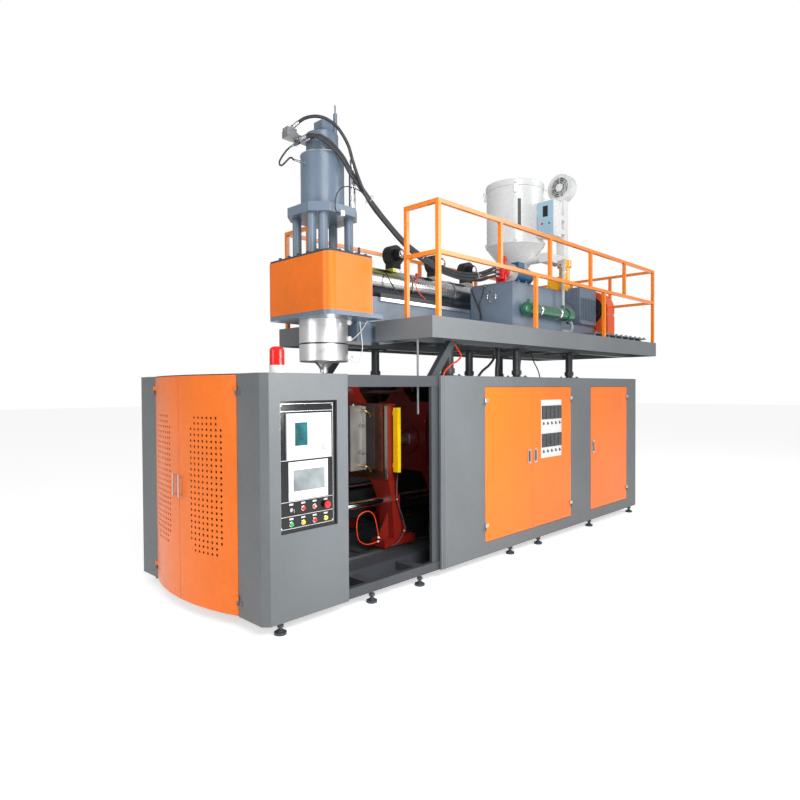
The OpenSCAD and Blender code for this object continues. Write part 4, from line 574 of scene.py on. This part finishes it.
def pilot_lights():
    p = Piece("pilot_lights")
    green = plastic("lamp_green", rgb(30, 168, 70), 0.2, glow=0.15)
    yellow = plastic("lamp_yellow", rgb(245, 200, 30), 0.2, glow=0.15)
    red = plastic("lamp_red", rgb(226, 34, 30), 0.2, glow=0.1)
    spots = [(x, LOWER_ROW, color) for x, color in zip(BUTTON_COLUMNS, (green, yellow, red, yellow))]
    spots += [(x, UPPER_ROW, red) for x in BUTTON_COLUMNS[1:3]]
    # Bezel, cap, shank and contact block of each
    for x, z, color in spots:
        p.lathe((x, FASCIA_Y, z), TO_OPERATOR, [(0.2, 19), (4, 19), (5, 17.5), (5, 15)], bright_steel, 32)
        p.lathe((x, FASCIA_Y, z), TO_OPERATOR, [(4, 15), (12, 15), (14, 13), (14, 0)], color, 32)
        p.lathe((x, FASCIA_Y, z), TO_FAR_SIDE, [(-1, 11), (30, 11)], black_plastic, 20)
        p.box(x - 15, x + 15, FASCIA_Y + 8, FASCIA_Y + 50, z - 20, z + 20, black_plastic)
    p.lathe((BUTTON_COLUMNS[2], FASCIA_Y, UPPER_ROW), TO_OPERATOR, [(13, 8), (15, 8), (15, 0)],
            white_plastic, 24)
    p.done(ROOT, ["push_buttons"])


panel_trim()
panel_screens()
pilot_lights()


# Head: terminals with their wires

def oriented(p, centre, out, half, material):
    """Upright block with half sizes along out, across it and up."""
    out = Vector(out).normalized()
    side = Vector((-out.y, out.x, 0))
    c = Vector(centre)
    corners = [c + out * a * half[0] + side * b * half[1] - Vector((0, 0, half[2]))
               for a, b in ((-1, -1), (1, -1), (1, 1), (-1, 1))]
    p.prism(corners, (0, 0, 2 * half[2]), material)


TERMINAL_OUT = (0.8, -0.6, 0)


def head_terminals():
    p = Piece("head_terminals")
    for z in (2366, 2212, 2038):
        oriented(p, (194, -146, z), TERMINAL_OUT, (14, 32, 22), white_plastic)
        oriented(p, (206, -155, z), TERMINAL_OUT, (5, 36, 12), steel)
        for side in (-1, 1):
            p.bolt((212 + side * 11, -159 + side * 15, z), TERMINAL_OUT, 5, 8, brass)
    p.done(ROOT, bevel=2)


head_terminals()
wire_white = plastic("wire_white", rgb(236, 236, 230), 0.4)
LONG_WIRE_ROUTE = [
    (262, -222, 2383), (278, -222, 2272), (296, -220, 2145), (286, -208, 2050), (256, -192, 1985),
    (204, -152, 2012)]
SHORT_WIRE_ROUTE = [(345, -236, 2383), (300, -222, 2310), (258, -200, 2255), (204, -152, 2190)]
hose("head_wire_long", LONG_WIRE_ROUTE, 4, material=wire_white)
hose("head_wire_short", SHORT_WIRE_ROUTE, 4, material=wire_white)


# Moving half: air loop, curtain lead and mould fittings

air_red = plastic("air_hose_red", rgb(236, 66, 24), 0.3)
AIR_LOOP_ROUTE = [
    (285, -440, 337), (270, -440, 408), (220, -446, 554), (135, -450, 608), (40, -446, 585),
    (11, -440, 515), (16, -438, 420), (49, -436, 345), (146, -434, 296), (285, -434, 300)]
CURTAIN_LEAD_ROUTE = [
    (481, -495, 879), (472, -500, 800), (455, -510, 690), (480, -532, 583), (520, -546, 447),
    (522, -548, 380), (430, -552, 290), (350, -542, 262)]
hose("air_loop", AIR_LOOP_ROUTE, 5, material=air_red, body="moving_half")
hose("curtain_lead", CURTAIN_LEAD_ROUTE, 6, body="moving_half")


def mould_fittings():
    p = Piece("mould_fittings")
    # Water sockets with bent pipes
    for z in (1526, 996):
        p.rod((271, -226, z), (271, -246, z), 13, brass, 6)
        elbow = [(271, -240, z), (272, -262, z), (290, -276, z - 6), (325, -276, z - 30),
                 (345, -270, z - 36), (352, -258, z - 60)]
        p.sweep(smooth(elbow, 6), 8, brass, 14)
    # Guide strips of the platen's face
    for y in (-420, 420):
        p.box(404, 409.8, y - 14, y + 14, 870, 1570, steel)
    # Ties of the curtain's lead and sockets of the air loop
    for tie in ((457, -510, 684), (521, -547, 377)):
        p.ring(tie, UPWARD, 8, 2.5, wire_white, 20)
    for air_port in ((287, -440, 337), (287, -434, 300)):
        p.lathe(air_port, TO_HEAD, [(-4, 9), (14, 9), (16, 6)], white_plastic, 16)
    p.done("moving_half")


mould_fittings()


# Black sheets painted as shade in the side doors' cup-handle pockets, and the handles' screws

HANDLE_X = {"left_side_door": 1991, "right_side_door": 2115, "end_side_door": 3465}


RECESS_HALF_WIDTH, RECESS_BOTTOM, RECESS_TOP = 14.5, 944, 1056


def handle_recess(door, x):
    p = Piece(door + "_recess")
    # Black sheet at the pocket's floor: painted shade of the pocket.
    p.box(x - RECESS_HALF_WIDTH, x + RECESS_HALF_WIDTH, -1004, -1003, RECESS_BOTTOM, RECESS_TOP,
          black_plastic)
    for z in (RECESS_BOTTOM - 12, RECESS_TOP + 12):
        p.bolt((x, -1010, z), TO_OPERATOR, 4, 3, bright_steel)
    p.done(door)


for door, handle_x in HANDLE_X.items():
    handle_recess(door, handle_x)


# Under the platform

def shade_sheet_under_machine():
    p = Piece("painted_shade_sheet")
    # Dark sheet over the whole footprint just above the floor: painted shade under the machine.
    p.box(-1215, 4650, -925, 925, 92, 96, dark_paint)
    p.done(ROOT)


shade_sheet_under_machine()
LOWER_HOSES = (
    ("lower_red_hose", 9, air_red,
     [(1060, -700, 2374), (1078, -700, 2216), (1140, -700, 2140), (1205, -700, 2066),
      (1150, -700, 2010), (1060, -700, 1975), (960, -700, 1910), (922, -700, 1852)]),
    ("lower_bent_hose", 14, None,
     [(1755, -500, 1852), (1840, -500, 1925), (1972, -500, 1996), (2069, -500, 2092), (2045, -500, 2196)]),
    ("lower_hose_left", 24, None,
     [(2116, -500, 1852), (2120, -500, 1960), (2140, -500, 2080), (2150, -500, 2196)]),
    ("lower_hose_right", 24, None,
     [(2560, -490, 1852), (2572, -490, 1960), (2590, -490, 2080), (2597, -490, 2196)]),
    ("lower_lead", 7, None,
     [(3046, -500, 1852), (3000, -500, 1950), (2900, -500, 2060), (2817, -500, 2196)]))
for name, r, material, route in LOWER_HOSES:
    hose(name, route, r, material=material)


# Beside the barrel

def barrel_rail():
    p = Piece("barrel_rail")
    # Bright strip, cable duct over it, strip's bolts and the air hose's red plug
    p.box(526, 1943, -242, -215.2, 2600, 2634, aluminium)
    p.box(526, 1943, -236, -218, 2634, 2682, black_plastic)
    for x in (560, 900, 1240, 1580, 1910):
        p.bolt((x, -242, 2617), TO_OPERATOR, 7, 6, steel)
    p.box(1172, 1208, -134, -106, 2936, 2968, red_plastic)
    p.done(ROOT, bevel=1)


BLOWER_Z = 3138


def blower_hubs():
    p = Piece("blower_hubs")
    dark = plastic("hub_hole_shade", rgb(16, 17, 18), 0.5)
    # Disc on each blower, with six dark discs painted as the shade in its holes
    for x in (943, 1605, 2194):
        p.lathe((x, -130.5, BLOWER_Z), TO_OPERATOR, [(0, 44), (4, 44), (6, 40), (6, 0)], aluminium, 32)
        for k in range(6):
            a = math.pi * k / 3
            c = (x + 26 * math.cos(a), -136, BLOWER_Z + 26 * math.sin(a))
            p.lathe(c, TO_OPERATOR, [(0, 7), (1, 7), (1, 0)], dark, 16)
    p.done(ROOT)


# The stop-red plastic glows a little though it is no lamp: painted light.
red_plastic = plastic("stop_red", rgb(232, 50, 46), 0.22, glow=0.06)
barrel_rail()
blower_hubs()
BARREL_AIR_ROUTE = [
    (1190, -118, 2944), (1150, -162, 2900), (1110, -172, 2835), (1130, -190, 2760), (1187, -215, 2700),
    (1250, -226, 2656)]
BARREL_LEAD_ROUTE = [(700, -140, 2912), (690, -190, 2840), (740, -215, 2750), (800, -226, 2656)]
hose("barrel_air_hose", BARREL_AIR_ROUTE, 6, material=air_red)
hose("barrel_lead", BARREL_LEAD_ROUTE, 7)


# Hydraulics

COOLER_Y, COOLER_Z = -873, 2610


def hydraulic_trim():
    p = Piece("hydraulic_trim")
    # Rim of the tank's sight gauge
    p.ring((1974, -530, 2760), TO_REAR, 58, 5, bright_steel)
    # Bands and feet of the oil cooler
    for x in (2380, 2814):
        p.lathe((x - 1, COOLER_Y, COOLER_Z), TO_REAR, [(0, 60), (0, 70), (36, 70), (36, 60)],
                bright_steel, 40)
        p.box(x + 4, x + 30, -812, -806, 2560, 2640, steel)
    # Filter's collar and the sockets of the tank's hoses
    p.lathe((3075, -820, 3120), UPWARD, [(0, 60), (0, 63.5), (24, 63.5), (24, 60)], aluminium, 40)
    for y in (-244, -438):
        p.rod((1978, y, 2878), (1978, y, 2908), 12, brass, 6)
    p.done(ROOT)


hydraulic_trim()
TANK_ROUTE_LEFT = [
    (1972, -244, 2878), (1970, -290, 2780), (1970, -345, 2675), (1974, -372, 2590), (1978, -377, 2517)]
TANK_ROUTE_RIGHT = [
    (1972, -438, 2878), (1966, -410, 2780), (1958, -376, 2680), (1960, -392, 2590), (1972, -396, 2517)]
COOLER_BEND = (
    (3100, 2536), (3144, 2518), (3162, 2474), (3144, 2430), (3100, 2412), (3000, 2410), (2900, 2410))
COOLER_ROUTE = [(x, COOLER_Y, z) for x, z in COOLER_BEND]
hose("tank_hose_left", TANK_ROUTE_LEFT, 7)
hose("tank_hose_right", TANK_ROUTE_RIGHT, 7)
grey_hose = rubber("grey_ribbed_hose", rgb(120, 124, 126), 0.5)
hose("cooler_hose", COOLER_ROUTE, 20, material=grey_hose)


# Hopper dryer

HOPPER_X = 3250
LID_CLAMP_ANGLES = (215, 305, 35, 125)
SIGHT_GLASS_ANGLE = 222


def outward(degrees):
    """Level direction at an angle from the X axis."""
    t = math.radians(degrees)
    return Vector((math.cos(t), math.sin(t), 0))


def dryer_trim():
    p = Piece("dryer_trim")
    pale_blue = plastic("box_blue", rgb(170, 206, 226), 0.35)
    # Control box: pale front, window and two buttons
    p.box(3186.5, 3189.7, -604, -388, 3658, 4088, pale_blue)
    p.box(3184, 3186.5, -530, -460, 3897, 4032, black_plastic)
    start_green = plastic("start_green", rgb(40, 160, 70), 0.25)
    for y, z, color in ((-451, 3814, red_plastic), (-550, 3808, start_green)):
        p.lathe((3186.5, y, z), TO_HEAD, [(0, 15), (5, 15), (7, 12), (7, 0)], color, 24)
    # Lid clamps
    for angle in LID_CLAMP_ANGLES:
        out = outward(angle)
        base = Vector((HOPPER_X, 0, 4262)) + out * 396
        oriented(p, base + out * 5, out, (5, 18, 44), bright_steel)
        pin = base + out * 8
        p.rod(pin + Vector((0, 0, 20)), pin + Vector((0, 0, 78)), 6, bright_steel, 12)
    out = outward(SIGHT_GLASS_ANGLE)
    oriented(p, Vector((HOPPER_X, 0, 3955)) + out * 380, out, (2, 20, 178), black_plastic)
    p.done(ROOT, bevel=1)


dryer_trim()


# Ties of the two long hoses, and the dryer blower's inlet disc

TIED_POINTS = (8, 11, 14)


def hose_ties():
    p = Piece("hose_ties")
    # Band round both hoses, with its tail
    for k in TIED_POINTS:
        a, b = Vector(MAIN_ROUTE[k]), Vector(MAIN_ROUTE[k + 1])
        q = Vector(SECOND_ROUTE[k])
        middle = (a + q) / 2
        p.ring(middle, b - a, 46, 3, wire_white, 32)
        p.rod(middle + Vector((0, -44, 0)), middle + Vector((0, -62, -8)), 3, wire_white, 8)
    p.done(ROOT)


INLET_CENTRE = (3558, -480, 4352)


def inlet_disc():
    p = Piece("fan_inlet_disc")
    centre, axis = Vector(INLET_CENTRE), Vector(TO_HEAD)
    p.lathe(centre, axis, [(0, 40), (0, 52), (4, 52), (6, 46), (6, 0)], white_plastic, 40)
    for r in (78, 104, 128):
        p.ring(centre + axis * 2, axis, r, 3, white_plastic, 48)
    p.done(ROOT)


hose_ties()
inlet_disc()


# Fittings of the ram cylinder

CYLINDER_FOOT_Z, CYLINDER_RIM_Z = 3420, 3921
RIM_BOLTS = 12


def cylinder_trim():
    p = Piece("cylinder_trim")
    # Weld seams at the foot and the rim, and the rim's bolts
    p.ring((0, 0, CYLINDER_FOOT_Z), UPWARD, 207, 4, steel, 96)
    p.ring((0, 0, CYLINDER_RIM_Z), UPWARD, 206, 4, steel, 96)
    for k in range(RIM_BOLTS):
        a = math.pi * k / 6 + 0.2
        p.bolt((180 * math.cos(a), 180 * math.sin(a), CYLINDER_RIM_Z + 2), UPWARD, 9, 12, steel)
    # Cap's plug, sensor's socket and side hose's socket
    p.lathe((25, 0, 4249), UPWARD, [(0, 40), (14, 40), (18, 34), (18, 0)], steel, 32)
    p.rod((206, -188, 3902), (206, -188, 3922), 8, brass, 12)
    p.rod((-281, 70, 3978), (-268, 70, 3988), 12, brass, 6)
    p.done(ROOT)


cylinder_trim()


# Materials of the frame's own pieces

FAR = 1e5
MOULD_FACE = rgb(158, 112, 92)
MOULD_BACKING = rgb(70, 72, 74)
beacon_paint = plastic("beacon_lens", rgb(236, 26, 22), 0.16,
                       zones=[((-FAR, -FAR, 0), (FAR, FAR, 1908), rgb(240, 240, 238))])
door_hardware = [((-FAR, -1060, 0), (FAR, -1000.6, FAR), rgb(200, 202, 204))]
side_door_paint = paint("side_door_paint", ORANGE, 0.32, metal_zones=door_hardware)
front_door_paint = paint("front_door_paint", ORANGE, 0.32,
                         metal_zones=[((-1495, -80, 880), (-1453.6, 80, 1100), rgb(214, 216, 218))])
platen_paint = paint("platen_paint", DARK_RED, 0.34, coat=0.2,
                     metal_zones=[((408.6, -449, 860), (411, 449, 1590), MOULD_FACE),
                                  ((692, -52, 1138), (1720, 52, 1242), rgb(215, 217, 220))])
front_platen_paint = paint("front_platen_paint", DARK_RED, 0.34, coat=0.2,
                           metal_zones=[((-411, -449, 860), (-408.6, 449, 1590), MOULD_FACE)])
fixed_frame_paint = paint("frame_paint", DARK, 0.45,
                          metal_zones=[((-1110, -470, 200), (2310, 470, 230), rgb(150, 152, 152)),
                                       ((-65, -65, 196), (65, 65, 510), rgb(160, 162, 164))])
mould_metal = brushed("mould_metal", (0.52, 0.51, 0.49, 1), 0.42, (30, 30, 1),
                      zones=[((301.5, -320, 900), (409, 320, 1580), MOULD_BACKING),
                             ((-409, -320, 900), (-301.5, 320, 1580), MOULD_BACKING)])
head_metal = brushed("head_metal", (0.80, 0.80, 0.81, 1), 0.34, (1, 1, 34), metallic=0.8,
                     zones=[((-240, -240, 2151), (240, 240, 2163), rgb(60, 62, 64))])
jacket_metal = brushed("jacket_metal", (0.72, 0.72, 0.72, 1), 0.2, (1, 30, 30),
                       zones=[((385, -150, 2890), (930, 150, 3000), rgb(190, 196, 104))])
valve_metal = brushed("valve_metal", (0.42, 0.43, 0.45, 1), 0.35,
                      zones=[((-440, -200, 3900), (-280, 200, 4014), rgb(30, 96, 210))])
pump_paint = paint("pump_paint", rgb(40, 92, 132), 0.35, coat=0.2,
                   zones=[((2040, -700, 2912), (2182, -480, 3260), rgb(222, 32, 34)),
                          ((2182, -700, 2912), (2290, -480, 3260), rgb(205, 207, 208))])
cooler_paint = paint("cooler_paint", rgb(34, 106, 78), 0.22, coat=0.5)
filter_paint = paint("filter_paint", rgb(255, 178, 20), 0.25, coat=0.4,
                     zones=[((2900, -910, 2600), (2990, -780, 3265), rgb(176, 182, 186))])
panel_paint = plastic("heater_panel_white", rgb(226, 228, 228), 0.35,
                      zones=[((2200, -1040, 900), (2700, -1005.5, 1700), rgb(46, 48, 52))])
fascia_gloss = plastic("fascia_black", rgb(20, 21, 23), 0.14)
display_white = plastic("display_white", rgb(226, 230, 232), 0.3)
curtain_paint = paint("curtain_yellow", rgb(255, 208, 10), 0.3,
                      zones=[((400, -560, 800), (520, -440, 938), BLACK),
                             ((400, -560, 1553), (520, -440, 1600), BLACK)])
pulley_metal = cast("pulley_iron", rgb(44, 45, 48), 0.45)
barrel_metal = cast("barrel_metal", rgb(112, 118, 124), 0.5)
guard_door_paint = plastic("guard_door_paint", DARK, 0.4)

NODE_MATERIALS = {
    dark_paint: ["deck_columns", "head_plate"],
    fixed_frame_paint: ["base_frame"],
    cabinet_paint: ["front_cabinet", "rear_cabinet"],
    deck_paint: ["deck"],
    rail_paint: ["guard_rail"],
    orange_paint: ["head_cover"],
    front_door_paint: ["front_door_near", "front_door_far"],
    side_door_paint: ["rear_door_left", "rear_door_right", "rear_door_end"],
    guard_paint: ["belt_guard"],
    blue_paint: ["extruder_frame", "head_columns", "ram_cylinder", "gearbox", "drive_motor",
                 "hydraulic_tank"],
    white_enamel: ["dryer_hopper", "dryer_blower", "dryer_lid"],
    beacon_paint: ["beacon"],
    fascia_gloss: ["control_fascia"],
    display_white: ["panel_displays"],
    head_metal: ["die_head"],
    valve_metal: ["valve_block"],
    aluminium: ["position_sensor", "dryer_fan"],
    barrel_metal: ["barrel"],
    jacket_metal: ["barrel_cover"],
    black_iron: ["barrel_blowers"],
    pulley_metal: ["gearbox_pulley", "motor_pulley"],
    rubber("belt_rubber"): ["drive_belts"],
    pump_paint: ["pump_motor"],
    cooler_paint: ["oil_cooler"],
    filter_paint: ["return_filter"],
    panel_paint: ["heater_panel"],
    guard_door_paint: ["guard_door"],
    red_plastic: ["emergency_stop"],
    bright_steel: ["key_switch", "tie_bars", "head_ram"],
    platen_paint: ["moving_platen", "clamp_cylinder"],
    front_platen_paint: ["front_platen"],
    mould_metal: ["moving_mould", "front_mould"],
    curtain_paint: ["light_curtain"],
    steel: ["blow_pin", "die_pin", "screw"],
}
for material, names in NODE_MATERIALS.items():
    for name in names:
        slots = nodes[name].data.materials
        slots.clear()
        slots.append(material)


# Floor, background and lights

def emission_for_camera(surface, color, strength, under):
    """Adds light that only the camera, gloss and glass see to a shader."""
    path = surface.node("ShaderNodeLightPath")
    seen = path.outputs["Is Camera Ray"]
    for ray in ("Is Glossy Ray", "Is Transmission Ray"):
        seen = surface.combine("MAXIMUM", seen, path.outputs[ray])
    scaled = surface.combine("MULTIPLY", seen, strength)
    glow = surface.node("ShaderNodeEmission")
    glow.inputs["Color"].default_value = color
    surface.link(scaled, glow.inputs["Strength"])
    both = surface.node("ShaderNodeAddShader")
    surface.link(under, both.inputs[0])
    surface.link(glow.outputs[0], both.inputs[1])
    surface.link(both.outputs[0], surface.tree.nodes["Material Output"].inputs["Surface"])


FLOOR_GLOW = 0.6
FLOOR_HALF_SIZE = 60
WORLD_LEVEL = 0.45


def make_floor():
    s = Surface("studio_floor")
    s.set(Base_Color=(0.72, 0.72, 0.72, 1), Roughness=0.9)
    emission_for_camera(s, (1, 1, 1, 1), FLOOR_GLOW, s.shader.outputs[0])
    mesh = bpy.data.meshes.new("floor")
    r = FLOOR_HALF_SIZE
    mesh.from_pydata([(-r, -r, 0), (r, -r, 0), (r, r, 0), (-r, r, 0)], [], [(0, 1, 2, 3)])
    mesh.materials.append(s.material)
    floor = bpy.data.objects.new("floor", mesh)
    floor.location = (2, 0, -0.001)
    into_scene(floor)


def make_world():
    world = bpy.data.worlds.new("studio")
    world.use_nodes = True
    tree = world.node_tree
    background = tree.nodes["Background"]
    background.inputs["Color"].default_value = (1, 1, 1, 1)
    path = tree.nodes.new("ShaderNodeLightPath")
    level = tree.nodes.new("ShaderNodeMapRange")
    level.inputs["To Min"].default_value = WORLD_LEVEL
    level.inputs["To Max"].default_value = 1.0
    tree.links.new(path.outputs["Is Camera Ray"], level.inputs["Value"])
    tree.links.new(level.outputs["Result"], background.inputs["Strength"])
    bpy.context.scene.world = world


def make_light(name, place, target, size, power):
    data = bpy.data.lights.new(name, "AREA")
    data.shape = "RECTANGLE"
    data.size, data.size_y = size
    data.energy = power
    light = bpy.data.objects.new(name, data)
    light.location = place
    light.rotation_mode = "QUATERNION"
    light.rotation_quaternion = (Vector(target) - Vector(place)).to_track_quat("-Z", "Y")
    into_scene(light)


# Name, place and target in metres, size in metres and power in watts
LIGHTS = (
    ("key_light", (-3.5, -7.5, 6.5), (1.5, 0, 1.6), (5, 4), 400),
    ("side_light", (7.5, -7.0, 5.0), (3.0, 0, 2.4), (4, 4), 240),
    ("front_light", (-8.5, 0.5, 4.0), (-0.5, 0, 1.6), (4, 4), 170),
    ("mould_light", (-0.2, -3.2, 1.9), (0.5, 0, 1.0), (1.6, 1.2), 70))

make_floor()
make_world()
for light in LIGHTS:
    make_light(*light)
bpy.context.scene.view_settings.view_transform = "Standard"
